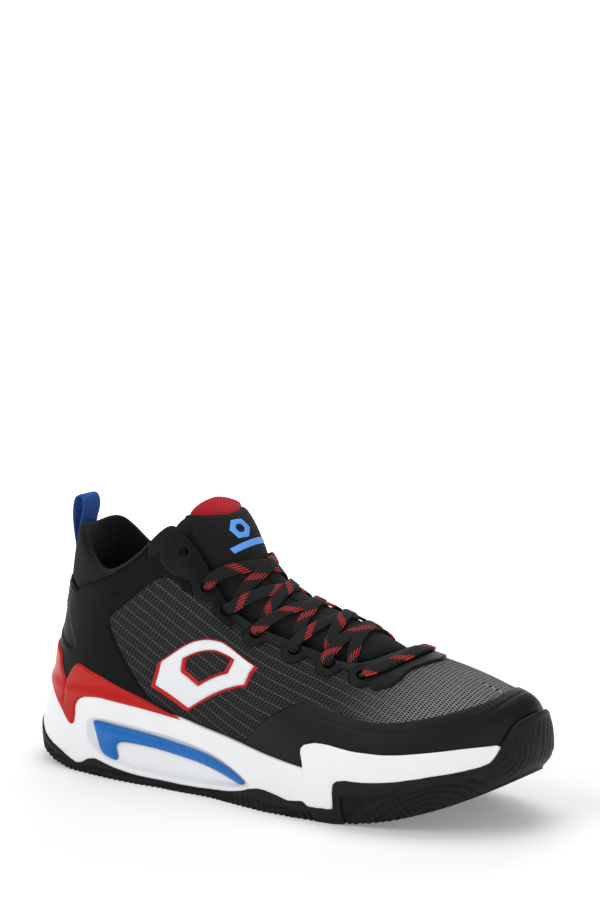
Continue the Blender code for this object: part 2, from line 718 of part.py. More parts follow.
def band(start, end, medial, over):
    """Stops from under the start's eyelet, over the tongue, down into the end's eyelet."""
    stops = [stop(upper, on_side(start[0], medial), start[1], -2.9, LACE_NECK),
             stop(upper, on_side((start[0] + start[2]) / 2, medial), (start[1] + 0.985) / 2, -3.1,
                  LACE_NECK),
             stop(upper, on_side(start[2], medial), 0.985, -3.1, LACE_NECK)]
    for share, lifts in BAND_LIFT.items():
        across = 1 - share if medial else share
        station = start[2] + (end[2] - start[2]) * share
        depth = tongue_face(across) + lifts[over]
        stops.append(stop(tongue, station, across, depth, LACE_WIDTH))
    far = not medial
    rim = end[2] + (start[2] - end[2]) * 0.03
    stops.append(stop(upper, on_side(rim, far), 0.985, 2.7, LACE_WIDTH))
    for share, depth, width in ((0.5, 2.4, LACE_WIDTH - 1), (0.85, 2.3, LACE_NECK),
                                (1.0, 1.2, LACE_NECK), (1.0, -1.2, LACE_NECK)):
        station = end[2] + (end[0] - end[2]) * share
        height = 0.985 + (end[1] - 0.985) * share
        stops.append(stop(upper, on_side(station, far), height, depth, width))
    return stops


def tail(eyelet, medial):
    """Tucked end: inside the shoe, down beside the tongue."""
    run = ((0.0, 0.84, -3.4), (0.02, 0.84, -6.2), (0.1, 0.77, -7.0), (0.25, 0.66, -7.2),
           (0.45, 0.55, -7.2))
    return [stop(upper, on_side(eyelet[0] + shift, medial), height, depth, 3.2)
            for shift, height, depth in run]


def lace_half(medial_start):
    """Stops of one half of the lace, from the front eyelet to its tucked end."""
    stops = []
    for k in range(5):
        medial = medial_start if k % 2 == 0 else not medial_start
        stops += band(EYELETS[k], EYELETS[k + 1], medial, 0 if medial else 1)
    return stops + tail(EYELETS[5], not medial)


def front_bar():
    """Stops of the bar over the front of the eyestay, lateral to medial."""
    station, height = EYELETS[0][:2]
    stops = [stop(upper, station, height, -1.2, LACE_NECK), stop(upper, station, height, 1.9, LACE_NECK)]
    for share in np.linspace(0.03, 0.97, 19):
        at = station + (TURN - 2 * station) * share
        rise = 0.035 * np.sin(np.pi * share)
        width = LACE_WIDTH if 0.1 < share < 0.9 else LACE_NECK
        stops.append(stop(upper, at, height + rise, 2.9, width))
    far = TURN - station
    return stops + [stop(upper, far, height, 1.9, LACE_NECK), stop(upper, far, height, -1.2, LACE_NECK)]


def lace_rings(stops):
    """Flat cross-sections at the stops, turned with the route."""
    points = np.array([s[0] for s in stops])
    along = unit(unit(np.diff(points, axis=0, prepend=2 * points[:1] - points[1:2]))
                 + unit(np.diff(points, axis=0, append=2 * points[-1:] - points[-2:-1])))
    rings = []
    before = None
    for (point, out, width), t in zip(stops, along):
        flat = np.cross(out, t)
        if before is not None and np.linalg.norm(flat) < 0.6:
            flat = before
        flat = unit(flat - t * (flat @ t))
        if before is not None and flat @ before < 0:
            flat = -flat
        before = flat
        up = unit(np.cross(t, flat))
        rings.append([point + flat * (width / 2 * a) + up * (LACE_THICK / 2 * b)
                      for a, b in ((-1, -1), (1, -1), (1, 1), (-1, 1))])
    return rings, points


rings, centre = lace_rings(lace_half(False)[::-1] + front_bar() + lace_half(True))
sweep("lace", rings, BLACK, 0.9)


def aglet(name, end, before):
    """Plastic tip of the lace."""
    direction = unit(end - before)
    turn = Vector(direction).to_track_quat("Z", "Y").to_matrix()
    rings = []
    for z, r in ((0.5, 1.5), (14, 1.5), (15.5, 1.0)):
        rings.append([end + np.array(turn @ Vector((r * np.cos(a), r * np.sin(a), z)))
                      for a in np.linspace(0, 2 * np.pi, 9)[:-1]])
    sweep(name, rings, BLACK, 0.3)


aglet("aglet_a", centre[0], centre[1])
aglet("aglet_b", centre[-1], centre[-2])

# ---------------------------------------------------------------- pull tab
TAB_HINGE = (16.0, 0.0, 117.0)
loop_line = [(18.4, 117), (18.5, 123), (18.8, 128), (19.5, 133), (21.0, 137), (21.9, 141), (21.6, 144.5),
             (20.3, 146.7), (18.3, 147.4), (16.4, 146.2), (14.9, 143), (14.3, 138), (14.4, 132),
             (15.2, 125), (16.7, 117)]


def strap(line, thick, width):
    """Rings of a flat strap bent along a line in the X-Z plane."""
    line = np.array(line, float)
    along = unit(np.gradient(line, axis=0))
    out = np.stack([along[:, 1], -along[:, 0]], -1)
    made = []
    for p, n in zip(line, out):
        a, b = p - n * thick / 2, p + n * thick / 2
        made.append([(a[0], -width / 2, a[1]), (a[0], width / 2, a[1]),
                     (b[0], width / 2, b[1]), (b[0], -width / 2, b[1])])
    return made


sweep("pull_loop", strap(loop_line, TAB_THICK, TAB_WIDTH), BLUE, 0.8, origin=TAB_HINGE)
base_line = []
for height in (0.828, 0.846, 0.864):
    point = upper(0.0, height, TAB_THICK / 2 + 0.6)
    base_line.append((point[0], point[2]))
sweep("pull_base", strap(base_line, TAB_THICK, TAB_WIDTH - 1), BLUE, 0.8)
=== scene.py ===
"""Basketball high top, right shoe: the visible pieces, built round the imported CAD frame.

Heel at -X, toe at +X, lateral side at -Y, Z up. The surfaces are laid out in millimetres on
stations round the outline: 0 is the back of the heel, 12 the toe, 1 to 11 the lateral side and
13 to 23 the medial side. A position on the upper is (station, height), with height 0 at the
feather line and 1 at the collar or throat edge; a depth is measured outward from its face.
"""

import bpy
import numpy as np
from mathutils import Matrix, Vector


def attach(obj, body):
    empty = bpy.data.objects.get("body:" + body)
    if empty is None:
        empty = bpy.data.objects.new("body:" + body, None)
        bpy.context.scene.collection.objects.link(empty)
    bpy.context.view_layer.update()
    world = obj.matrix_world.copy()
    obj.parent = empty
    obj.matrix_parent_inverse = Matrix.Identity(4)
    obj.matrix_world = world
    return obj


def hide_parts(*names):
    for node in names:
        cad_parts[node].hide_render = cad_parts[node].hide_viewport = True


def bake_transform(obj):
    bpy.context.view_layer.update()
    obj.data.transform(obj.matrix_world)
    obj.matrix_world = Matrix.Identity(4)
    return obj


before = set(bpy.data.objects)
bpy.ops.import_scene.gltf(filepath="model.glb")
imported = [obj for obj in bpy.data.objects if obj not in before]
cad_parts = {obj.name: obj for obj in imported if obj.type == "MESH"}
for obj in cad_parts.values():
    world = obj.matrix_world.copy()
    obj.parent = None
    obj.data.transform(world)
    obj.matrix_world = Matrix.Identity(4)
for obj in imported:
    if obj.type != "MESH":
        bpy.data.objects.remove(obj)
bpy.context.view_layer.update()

MM = 0.001
MIDDLE = np.array([151.9, -0.9, 0.0])
TURN = 24.0

# ---------------------------------------------------------------- camera, lights and floor
AZIMUTH, ELEVATION, DISTANCE = np.radians(34.0), np.radians(13.5), 1.6
AIM = np.array([-0.0019, 0.0009, 0.06])
BACK = Vector((np.sin(AZIMUTH) * np.cos(ELEVATION), -np.cos(AZIMUTH) * np.cos(ELEVATION),
               np.sin(ELEVATION)))

camera_data = bpy.data.cameras.new("camera")
camera_data.lens = 118.1
camera_data.sensor_width = 36
camera_data.shift_x = 0.02
camera_data.shift_y = 0.2511
camera_data.clip_end = 20
camera = bpy.data.objects.new("camera", camera_data)
camera.location = Vector(AIM) + BACK * DISTANCE
camera.rotation_mode = "QUATERNION"
camera.rotation_quaternion = (-BACK).to_track_quat("-Z", "Y")
bpy.context.collection.objects.link(camera)
bpy.context.scene.camera = camera


def lamp(name, place, target, size, power, colour=(1, 1, 1)):
    """Soft square studio light that looks at a point."""
    data = bpy.data.lights.new(name, "AREA")
    data.size = size
    data.energy = power
    data.color = colour
    light = bpy.data.objects.new(name, data)
    light.location = place
    light.rotation_mode = "QUATERNION"
    light.rotation_quaternion = (Vector(place) - Vector(target)).to_track_quat("Z", "Y")
    bpy.context.collection.objects.link(light)


lamp("key_light", (-0.5, -1.2, 1.3), (0, 0, 0.05), 1.1, 11)
lamp("fill_light", (1.4, -0.9, 0.7), (0, 0, 0.05), 1.2, 4)
lamp("top_light", (-0.2, 0.4, 1.7), (0, 0, 0.05), 1.2, 14)
lamp("rim_light", (-0.6, 1.3, 0.9), (0, 0, 0.08), 0.9, 5)

world = bpy.data.worlds.new("studio")
world.use_nodes = True
world.node_tree.nodes["Background"].inputs["Color"].default_value = (1, 1, 1, 1)
world.node_tree.nodes["Background"].inputs["Strength"].default_value = 0.31
bpy.context.scene.world = world
bpy.context.scene.view_settings.view_transform = "Standard"

# ---------------------------------------------------------------- sizes of the last and the sole
# station: (x, lateral y, medial y) of the sole's widest line
OUTLINE = {
    0: (-4, 0, 0), 1: (2, -21, 21), 2: (22, -37, 37), 3: (57, -43, 41), 4: (94, -41, 36),
    5: (130, -42, 35), 6: (165, -48, 41), 7: (198, -54, 49), 8: (229, -54, 53),
    9: (258, -48, 51), 10: (283, -35, 43), 11: (301, -15, 29), 12: (307, 8, 8),
}
# station: (inset from the outline, height) of the feather line
FEATHER = {
    0: (8, 26), 1: (8, 26), 2: (8, 25), 3: (7, 23), 4: (6, 22), 5: (5, 21), 6: (5, 19),
    7: (5, 18), 8: (5, 19), 9: (6, 23), 10: (7, 29), 11: (6, 36), 12: (6, 42),
}
# station: (x, lateral y, medial y, z) of the collar and of the throat's edge
TOP_LINE = {
    0: (20, 0, 0, 130.5), 1: (27, -20, 20, 132), 2: (43, -30, 30, 117), 3: (60, -34, 33, 114),
    4: (80, -33, 32, 127), 5: (99, -29, 29, 141), 6: (116, -24, 24, 124),
    7: (138, -25, 25, 98), 8: (180, -25, 25, 85.5), 9: (208, -23, 22, 79),
    10: (222, -14, 15, 82), 11: (228, -5, 9, 84.5), 12: (230, 2, 2, 85.5),
}
# station: (out, up) that the wall leaves the feather line with, then
# (out, down, slope of the out part) that it leaves the top line with
WALL = {
    0: (0, 34, -1, 30, 0), 1: (2, 34, 1, 30, 0), 2: (5, 32, 4, 28, 0), 3: (5, 30, 4, 26, 0),
    4: (5, 30, 4, 30, 0), 5: (6, 32, 6, 34, 0), 6: (6, 36, 9, 22, -0.4),
    7: (6, 30, 10, 12, -0.45), 8: (6, 26, 14, 9, -0.4), 9: (6, 22, 20, 7, -0.35),
    10: (5, 26, 30, 3, -0.34), 11: (4, 30, 40, 0, -0.28), 12: (4, 30, 46, 0, -0.27),
}
# station: (x, y, z) of the tongue's ridge, and of the tongue's lateral edge
RIDGE = {
    4.7: (103, 0, 162), 5: (109.5, 0, 155.5), 5.5: (121, 0, 146.5), 6: (132, 0, 135),
    6.5: (141, 0, 122), 7: (152, 0, 111.5), 8: (186, 0, 100), 9: (209, 0, 92.5),
    10: (221, 0, 89), 11: (228, 1, 86.8), 12: (230, 2, 85.5),
}
TONGUE_EDGE = {
    4.7: (97, -25.5, 156), 5: (103, -25.5, 149.5), 5.5: (110, -26, 137.5),
    6: (116, -24.5, 123.5), 6.5: (124.5, -25, 109), 7: (138, -25, 98), 8: (180, -25, 85.5),
    9: (208, -23, 79), 10: (222, -14, 82), 11: (228, -5, 84.5), 12: (230, 2, 85.5),
}
# station: height z of the sole's upper lip
LIP = {
    0: 46, 1: 45, 2: 42, 3: 43.5, 4: 40.7, 4.52: 38.8, 4.91: 36, 5.32: 34, 5.74: 31.6, 6.17: 29.4,
    6.62: 28, 7.06: 27, 7.1: 31, 7.13: 35.5, 7.17: 37.3, 7.27: 39.3, 7.5: 41, 7.7: 41.2,
    7.89: 40.4, 8.15: 39.4, 8.7: 39.2, 9.06: 40, 9.58: 42, 10.1: 44, 10.46: 45, 10.75: 45.6,
    10.88: 46, 11: 49.3, 11.17: 53.8, 11.35: 56.8, 11.6: 58.5, 12: 60,
}
# station: how far the tread's edge is out from the sole's widest line
TREAD_EDGE = {
    0: -2, 1: -1, 1.7: 1, 2.3: 1, 2.8: 1, 3.3: 3.7, 3.8: 5.5, 4.6: 5.4, 5.3: 3.8, 5.8: 3.8,
    6.2: 3, 6.6: 1, 7.1: -2.4, 7.6: -3.5, 8: -5, 12: -5,
}
TOE_SPRING = (205, 30, 307)
HEEL_BEVEL = (45, 12)
LIP_THICK = 2.8
GAP = 0.4

# ---------------------------------------------------------------- layers of the upper (depths)
SHELL_INSIDE = -1.2
LINING_INSIDE = -4.6
LINING_BEHIND = -3.2
COLLAR_BOUNDARY = {0: 0.74, 1: 0.74, 1.75: 0.78, 2.25: 0.9, 2.75: 0.955, 3.3: 0.97, 5.2: 0.97}
LINING_TOP = {0: 0.58, 1.7: 0.6, 3: 0.74, 5.2: 0.77, 6: 0.78, 12: 0.8}
# each eyelet: station, height, and the station where its lace crosses the throat's edge
EYELETS = [(9.2, 0.885, 9.05), (8.45, 0.93, 8.45), (7.85, 0.935, 7.87), (7.28, 0.94, 7.35),
           (6.62, 0.905, 6.85), (5.9, 0.85, 6.26), (5.3, 0.915, 5.5)]
# the last one, at the top, holds no lace
FREE_EYELET = 6
EYELET_R = 3.1
FREE_EYELET_R = 2.3
PANEL_CORNERS = [(3.95, 0.3), (4.17, 0.42), (5.96, 0.6), (6.99, 0.66), (6.23, 0.42), (4.6, 0.18)]

# height of the throat's edge where the laces cross it
THROAT_EDGE = 0.985
LACE_WIDTH = 6.6
LACE_THICK = 1.2
LACE_NECK = 4.0
TAB_WIDTH = 15.0
TAB_THICK = 1.2


# ---------------------------------------------------------------- curves
def table_spline(table, period=None):
    """Smooth curve through the rows of a table keyed by station."""
    keys = np.array(sorted(table), float)
    rows = np.array([np.atleast_1d(table[k]) for k in sorted(table)], float)
    if period:
        keys = np.append(keys, keys[0] + period)
        rows = np.vstack([rows, rows[:1]])
    width = np.diff(keys)
    slope = np.diff(rows, axis=0) / width[:, None]
    count = len(keys)
    system = np.eye(count)
    right = np.zeros_like(rows)
    for i in range(1, count - 1):
        system[i, i - 1:i + 2] = width[i - 1], 2 * (width[i - 1] + width[i]), width[i]
        right[i] = 6 * (slope[i] - slope[i - 1])
    if period:
        system[0, [0, 1, -2]] = 2 * (width[0] + width[-1]), width[0], width[-1]
        system[0, -1] = 0
        right[0] = 6 * (slope[0] - slope[-1])
        system[-1, 0] = -1
    bend = np.linalg.solve(system, right)

    def curve(station):
        station = np.asarray(station, float)
        flat = station.ravel()
        if period:
            flat = keys[0] + np.mod(flat - keys[0], period)
        else:
            flat = np.clip(flat, keys[0], keys[-1])
        i = np.clip(np.searchsorted(keys, flat, side="right") - 1, 0, count - 2)
        after = (flat - keys[i])[:, None]
        span = width[i][:, None]
        before = span - after
        value = (bend[i] * before ** 3 + bend[i + 1] * after ** 3) / (6 * span)
        value += (rows[i] / span - bend[i] * span / 6) * before
        value += (rows[i + 1] / span - bend[i + 1] * span / 6) * after
        return value.reshape(station.shape + (rows.shape[1],))
    return curve


def both_sides(table, pick):
    """Mirror a lateral table to the whole turn; pick(row, side) gives the values of one side."""
    whole = {k: pick(np.atleast_1d(row), -1) for k, row in table.items()}
    for k, row in table.items():
        if 0 < k < TURN / 2:
            whole[TURN - k] = pick(np.atleast_1d(row), 1)
    return whole


def level(table, station):
    """Straight-line value of a table, the same on both sides."""
    side = np.minimum(np.mod(station, TURN), TURN - np.mod(station, TURN))
    keys = sorted(table)
    return np.interp(side, keys, [table[k] for k in keys])


def arrays(*values):
    """The values as arrays of one shape."""
    return np.broadcast_arrays(*(np.asarray(value, float) for value in values))


def unit(vector):
    return vector / np.maximum(np.linalg.norm(vector, axis=-1, keepdims=True), 1e-9)


def bezier(a, b, c, d, t):
    t = np.asarray(t, float)[..., None]
    s = 1 - t
    return s ** 3 * a + 3 * s * s * t * b + 3 * s * t * t * c + t ** 3 * d


outline = table_spline(both_sides(OUTLINE, lambda r, s: (r[0], r[1] if s < 0 else r[2])), TURN)
feather = table_spline(both_sides(FEATHER, lambda r, s: tuple(r)), TURN)
top_line = table_spline(
    both_sides(TOP_LINE, lambda r, s: (r[0], r[1] if s < 0 else r[2], r[3])), TURN)
wall = table_spline(both_sides(WALL, lambda r, s: tuple(r)), TURN)
ridge = table_spline(RIDGE)
tongue_edge = table_spline(TONGUE_EDGE)


def outward(station):
    """Flat outward direction of the sole's outline."""
    along = outline(station + 0.02) - outline(station - 0.02)
    return unit(np.stack([along[..., 1], -along[..., 0]], -1))


def ground(x):
    """Height of the tread's underside: toe spring and heel bevel."""
    start, rise, tip = TOE_SPRING
    toe = rise * (np.maximum(x - start, 0) / (tip - start)) ** 2
    end, lift = HEEL_BEVEL
    return toe + lift * (np.maximum(end - x, 0) / end) ** 2


# ---------------------------------------------------------------- the upper's face
def wall_curve(station, t):
    """Point of the upper at bezier parameter t."""
    station = np.asarray(station, float)
    out = outward(station)
    inset = feather(station)
    leave = wall(station)
    low = np.concatenate([outline(station) - out * inset[..., :1], inset[..., 1:2]], -1)
    high = top_line(station)
    rise = np.concatenate([out * leave[..., :1], leave[..., 1:2]], -1)
    away = unit((low - high)[..., :2] + out * 30)
    drop = away[..., :1] * leave[..., 2:3] * leave[..., 4:5] - leave[..., 3:4]
    fall = np.concatenate([away * leave[..., 2:3], drop], -1)
    return bezier(low, low + rise, high + fall, high, t)


ARC_STATIONS = np.linspace(0, TURN, 289)
ARC_STEPS = np.linspace(0, 1, 49)


def arc_table():
    """Bezier parameter for each station and each fraction of the wall's length."""
    at, t = np.meshgrid(ARC_STATIONS, ARC_STEPS, indexing="ij")
    run = np.cumsum(np.linalg.norm(np.diff(wall_curve(at, t), axis=1), axis=2), axis=1)
    run = np.concatenate([np.zeros((len(run), 1)), run], 1)
    run /= run[:, -1:]
    return np.array([np.interp(ARC_STEPS, row, ARC_STEPS) for row in run])


ARC = arc_table()


def parameter(station, height):
    column = np.mod(station, TURN) / TURN * (len(ARC_STATIONS) - 1)
    i = np.minimum(column.astype(int), len(ARC_STATIONS) - 2)
    column = column - i
    inside = np.clip(height, 0, 1)
    row = inside * (len(ARC_STEPS) - 1)
    j = np.minimum(row.astype(int), len(ARC_STEPS) - 2)
    row = row - j
    near = ARC[i, j] * (1 - column) + ARC[i + 1, j] * column
    far = ARC[i, j + 1] * (1 - column) + ARC[i + 1, j + 1] * column
    return near * (1 - row) + far * row + height - inside


def face(point, station, height, depth, e=0.03, f=0.01):
    """Points of a surface moved outward by depth."""
    along = point(station + e, height) - point(station - e, height)
    across = point(station, height + f) - point(station, height - f)
    out = unit(np.cross(along, across))
    return point(station, height) + out * np.asarray(depth, float)[..., None]


def toe_fill(station, height):
    """How far the toe box swells out over the last's own line."""
    turned = np.mod(station, TURN)
    forward = np.clip((np.minimum(turned, TURN - turned) - 10.2) / 1.8, 0, 1)
    return 4.5 * forward ** 2 * (3 - 2 * forward) * np.exp(-((height - 0.22) / 0.13) ** 2)


def upper(station, height, depth=0.0):
    station, height, depth = arrays(station, height, depth)
    t = parameter(station, height)
    return face(wall_curve, station, t, depth + toe_fill(station, height))


def height_at(station, z):
    """Height on the upper's face where it passes level z."""
    heights = np.linspace(0, 0.9, 91)
    station, z = arrays(station, z)
    found = [np.interp(b, upper(np.full(91, a), heights)[:, 2], heights)
             for a, b in zip(station.ravel(), z.ravel())]
    return np.array(found).reshape(station.shape)


LIP_STATIONS = np.linspace(0, TURN / 2, 97)
LIP_STATIONS = np.concatenate([LIP_STATIONS, np.linspace(7, 7.4, 41), np.linspace(10.8, 11.6, 17)])
LIP_STATIONS = np.unique(np.concatenate([LIP_STATIONS, TURN - LIP_STATIONS]).round(4))
LIP_HEIGHTS = height_at(LIP_STATIONS, level(LIP, LIP_STATIONS))


def lip_height(station):
    return np.interp(np.mod(station, TURN), LIP_STATIONS, LIP_HEIGHTS)


EVEN_HEIGHTS = np.mean([np.interp(np.mod(LIP_STATIONS + shift, TURN), LIP_STATIONS, LIP_HEIGHTS)
                        for shift in np.linspace(-0.35, 0.35, 29)], axis=0)


def side_curve(station, w):
    """Sole's side: w is 0 at the tread's edge and 1 at the lip.

    Its lower part follows an evened-out lip, so that the lip's steps don't crease it.
    """
    out = outward(station)
    edge = outline(station)
    base = ground(edge[..., 0])
    rise = np.clip((np.asarray(w, float) - 0.5) / 0.5, 0, 1)
    even = np.interp(np.mod(station, TURN), LIP_STATIONS, EVEN_HEIGHTS)
    height = even + (lip_height(station) - even) * rise * rise * (3 - 2 * rise)
    lip = upper(station, height, LIP_THICK)
    under = upper(station, height - 0.06, LIP_THICK + 1.2)
    tall = lip[..., 2] - base
    low = np.concatenate([edge + out * level(TREAD_EDGE, station)[..., None], base[..., None]], -1)
    bulge = np.concatenate([edge + out * 2.5, (base + tall * 0.3)[..., None]], -1)
    return bezier(low, bulge, lip + (under - lip) * 2, lip, w)


def side(station, w, depth=0.0):
    station, w, depth = arrays(station, w, depth)
    return face(side_curve, station, w, depth)


def tongue_curve(station, across):
    """Tongue's face: across is 0 at the lateral edge and 1 at the medial edge."""
    lateral = tongue_edge(station)
    middle = ridge(station)
    medial = lateral * np.array([1, -1, 1]) + middle * np.array([0, 2, 0])
    pull = np.array([4 / 3, 0.28, 4 / 3])
    return bezier(lateral, lateral + (middle - lateral) * pull,
                  medial + (middle - medial) * pull, medial, across)


def tongue(station, across, depth=0.0):
    station, across, depth = arrays(station, across, depth)
    return face(tongue_curve, station, across, depth)


# ---------------------------------------------------------------- mesh builders
def place(points):
    """Millimetres of the layout to metres of the row frame."""
    return (np.asarray(points, float).reshape(-1, 3) - MIDDLE) * MM


def piece(name, points, faces, look, body, replaces=(), values=None, smooth=True):
    """Visible object from points in millimetres; values are named point attributes."""
    mesh = bpy.data.meshes.new(name)
    mesh.from_pydata(place(points).tolist(), [], faces)
    mesh.polygons.foreach_set("use_smooth", [smooth] * len(mesh.polygons))
    for key, rows in (values or {}).items():
        attribute = mesh.attributes.new(key, "FLOAT_VECTOR", "POINT")
        attribute.data.foreach_set("vector", np.asarray(rows, np.float32).ravel())
    mesh.materials.append(look)
    made = bpy.data.objects.new(name, mesh)
    bpy.context.collection.objects.link(made)
    if body:
        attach(made, body)
    if replaces:
        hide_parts(*replaces)
    return made


def grid_faces(rows, columns, wrap_rows=False, wrap_columns=False):
    """Quads of a grid of points."""
    i, j = np.meshgrid(np.arange(rows if wrap_rows else rows - 1),
                       np.arange(columns if wrap_columns else columns - 1), indexing="ij")
    i, j = i.ravel(), j.ravel()
    far_i, far_j = (i + 1) % rows, (j + 1) % columns
    return np.stack([i * columns + j, i * columns + far_j, far_i * columns + far_j,
                     far_i * columns + j], -1).tolist()


def smooth_step(x):
    x = np.clip(x, 0, 1)
    return x * x * (3 - 2 * x)


def line_distance(points, line):
    """Shortest distance of each point from a line of points in space."""
    best = np.full(len(points), 1e9)
    for a, b in zip(line[:-1], line[1:]):
        along = b - a
        share = np.clip((points - a) @ along / max(along @ along, 1e-9), 0, 1)
        best = np.minimum(best, np.linalg.norm(points - a - share[:, None] * along, axis=1))
    return best


def inside(flat, corners):
    """True for the points of the plane within a closed outline."""
    x, y = flat[:, 0], flat[:, 1]
    found = np.zeros(len(flat), bool)
    for (ax, ay), (bx, by) in zip(corners, np.roll(corners, -1, axis=0)):
        if ay == by:
            continue
        crossing = ((ay > y) != (by > y)) & (x < ax + (y - ay) * (bx - ax) / (by - ay))
        found ^= crossing
    return found


def fine_line(corners, step=0.12, closed=False):
    """The same outline with points close enough to follow the surface."""
    corners = np.asarray(corners, float)
    if closed:
        corners = np.vstack([corners, corners[:1]])
    made = [corners[:1]]
    for a, b in zip(corners[:-1], corners[1:]):
        count = max(1, int(np.ceil(max(abs(b[0] - a[0]) / step, abs(b[1] - a[1]) / 0.03))))
        made.append(a + (b - a) * np.linspace(0, 1, count + 1)[1:, None])
    return np.vstack(made)


def rounded(corners, times=2, closed=True):
    """Outline with its corners cut round."""
    line = np.asarray(corners, float)
    for _ in range(times):
        ahead = np.roll(line, -1, axis=0)
        if not closed:
            ahead = line[1:]
        here = line if closed else line[:-1]
        cut = np.stack([here * 0.75 + ahead * 0.25, here * 0.25 + ahead * 0.75], 1)
        cut = cut.reshape(-1, line.shape[1])
        line = cut if closed else np.vstack([line[:1], cut, line[-1:]])
    return line


def lateral(station):
    """Station on the lateral side that mirrors this one."""
    turned = np.mod(station, TURN)
    return np.where(turned > TURN / 2, TURN - turned, turned)


class Outline:
    """Closed outline on a surface, in lateral stations, used on both sides of the shoe."""

    def __init__(self, surface, corners, closed=True):
        self.corners = np.asarray(corners, float)
        line = fine_line(corners, closed=closed)
        self.lines = []
        for mirror in (False, True):
            at = TURN - line[:, 0] if mirror else line[:, 0]
            self.lines.append(surface(at, line[:, 1]))

    def distance(self, stations, points):
        """Distance of points of the surface from the outline's line."""
        medial = np.mod(stations, TURN) > TURN / 2
        found = np.empty(len(points))
        for side_line, mask in zip(self.lines, (~medial, medial)):
            if mask.any():
                found[mask] = line_distance(points[mask], side_line)
        return found

    def signed(self, stations, heights, points):
        """Distance inside the outline, negative outside."""
        flat = np.stack([lateral(stations), heights], -1)
        sign = np.where(inside(flat, self.corners), 1.0, -1.0)
        return sign * self.distance(stations, points)


def clip(faces, field, blend):
    """Cut quads along the zero line of a field; blend(i, j, t) makes a point between two."""
    kept = []
    cuts = {}

    def crossing(a, b):
        key = (min(a, b), max(a, b))
        if key not in cuts:
            i, j = key
            cuts[key] = blend(i, j, field[i] / (field[i] - field[j]))
        return cuts[key]

    for quad in faces:
        positive = [field[v] > 0 for v in quad]
        if all(positive):
            kept.append(quad)
            continue
        if not any(positive):
            continue
        made = []
        for k, v in enumerate(quad):
            after = quad[(k + 1) % len(quad)]
            if positive[k]:
                made.append(v)
            if positive[k] != (field[after] > 0):
                made.append(crossing(v, after))
        if len(made) > 2:
            kept.append(made)
    return kept


def film(name, look, surface, stations, heights, field, relief, under, body, replaces=(),
         wrap=False, fabric=None):
    """Closed skin on a surface where field is above zero.

    field(stations, heights, points) is a distance inside the edge in millimetres, relief the
    same with that distance added and gives the depth of its face; under is its back's depth.
    """
    rows, columns = heights.shape
    s = np.broadcast_to(stations[:, None], heights.shape).ravel()
    h = heights.ravel()
    base = surface(s, h)
    inner_distance = field(s, h, base)
    quads = grid_faces(rows, columns, wrap_rows=wrap)
    extra = []

    def blend(i, j, t):
        far = s[j]
        if wrap and abs(far - s[i]) > TURN / 2:
            far += TURN if far < s[i] else -TURN
        extra.append((s[i] + (far - s[i]) * t, h[i] + (h[j] - h[i]) * t))
        return len(s) + len(extra) - 1

    kept = clip(quads, inner_distance, blend)
    if extra:
        added = np.array(extra)
        s = np.concatenate([s, np.mod(added[:, 0], TURN) if wrap else added[:, 0]])
        h = np.concatenate([h, added[:, 1]])
        inner_distance = np.concatenate([inner_distance, np.zeros(len(extra))])
    used = np.unique([v for quad in kept for v in quad])
    order = np.full(len(s), -1)
    order[used] = np.arange(len(used))
    kept = [[int(order[v]) for v in quad] for quad in kept]
    s, h, inner_distance = s[used], h[used], inner_distance[used]
    base = surface(s, h)
    top = surface(s, h, relief(s, h, base, inner_distance))
    back = surface(s, h, np.broadcast_to(under, s.shape))
    size = len(s)
    edges = {}
    for quad in kept:
        for a, b in zip(quad, quad[1:] + quad[:1]):
            edges[(a, b)] = True
    faces = [list(reversed(quad)) for quad in kept]
    faces += [[v + size for v in quad] for quad in kept]
    faces += [[a, b, b + size, a + size] for a, b in edges if (b, a) not in edges]
    points = np.concatenate([top, back])
    weave = fabric(s, h, base) if fabric else np.stack([s, h, inner_distance], -1)
    values = {"fab": np.concatenate([weave, weave])}
    return piece(name, points, faces, look, body, replaces, values)


def flipped(faces):
    return [list(reversed(face)) for face in faces]


def ladder(first, around):
    """Faces that close a long thin ring, each from one of its sides to the side facing it."""
    faces = []
    for k in range((around - 1) // 2):
        a, b, c, d = k, k + 1, around - 2 - k, around - 1 - k
        faces.append([first + corner for corner in ([a, b, d] if b == c else [a, b, c, d])])
    return faces


def tube(name, look, rings, fab, body, replaces=(), thin=False):
    """Surface of equal rings one after another; thin rings are closed by a ladder of faces."""
    rings = np.asarray(rings)
    count, around = rings.shape[:2]
    faces = grid_faces(count, around, wrap_columns=True)
    last = (count - 1) * around
    if thin:
        faces += flipped(ladder(0, around)) + ladder(last, around)
    else:
        faces.append(list(range(around))[::-1])
        faces.append(list(range(last, last + around)))
    return piece(name, rings.reshape(-1, 3), faces, look, body, replaces,
                 {"fab": fab.reshape(-1, 3)})


def woven(rows, columns):
    """Fabric coordinates of a grid, from the lengths along its rows and its columns."""
    return np.stack(np.broadcast_arrays(rows[:, None], columns[None, :], np.zeros((1, 1))), -1)



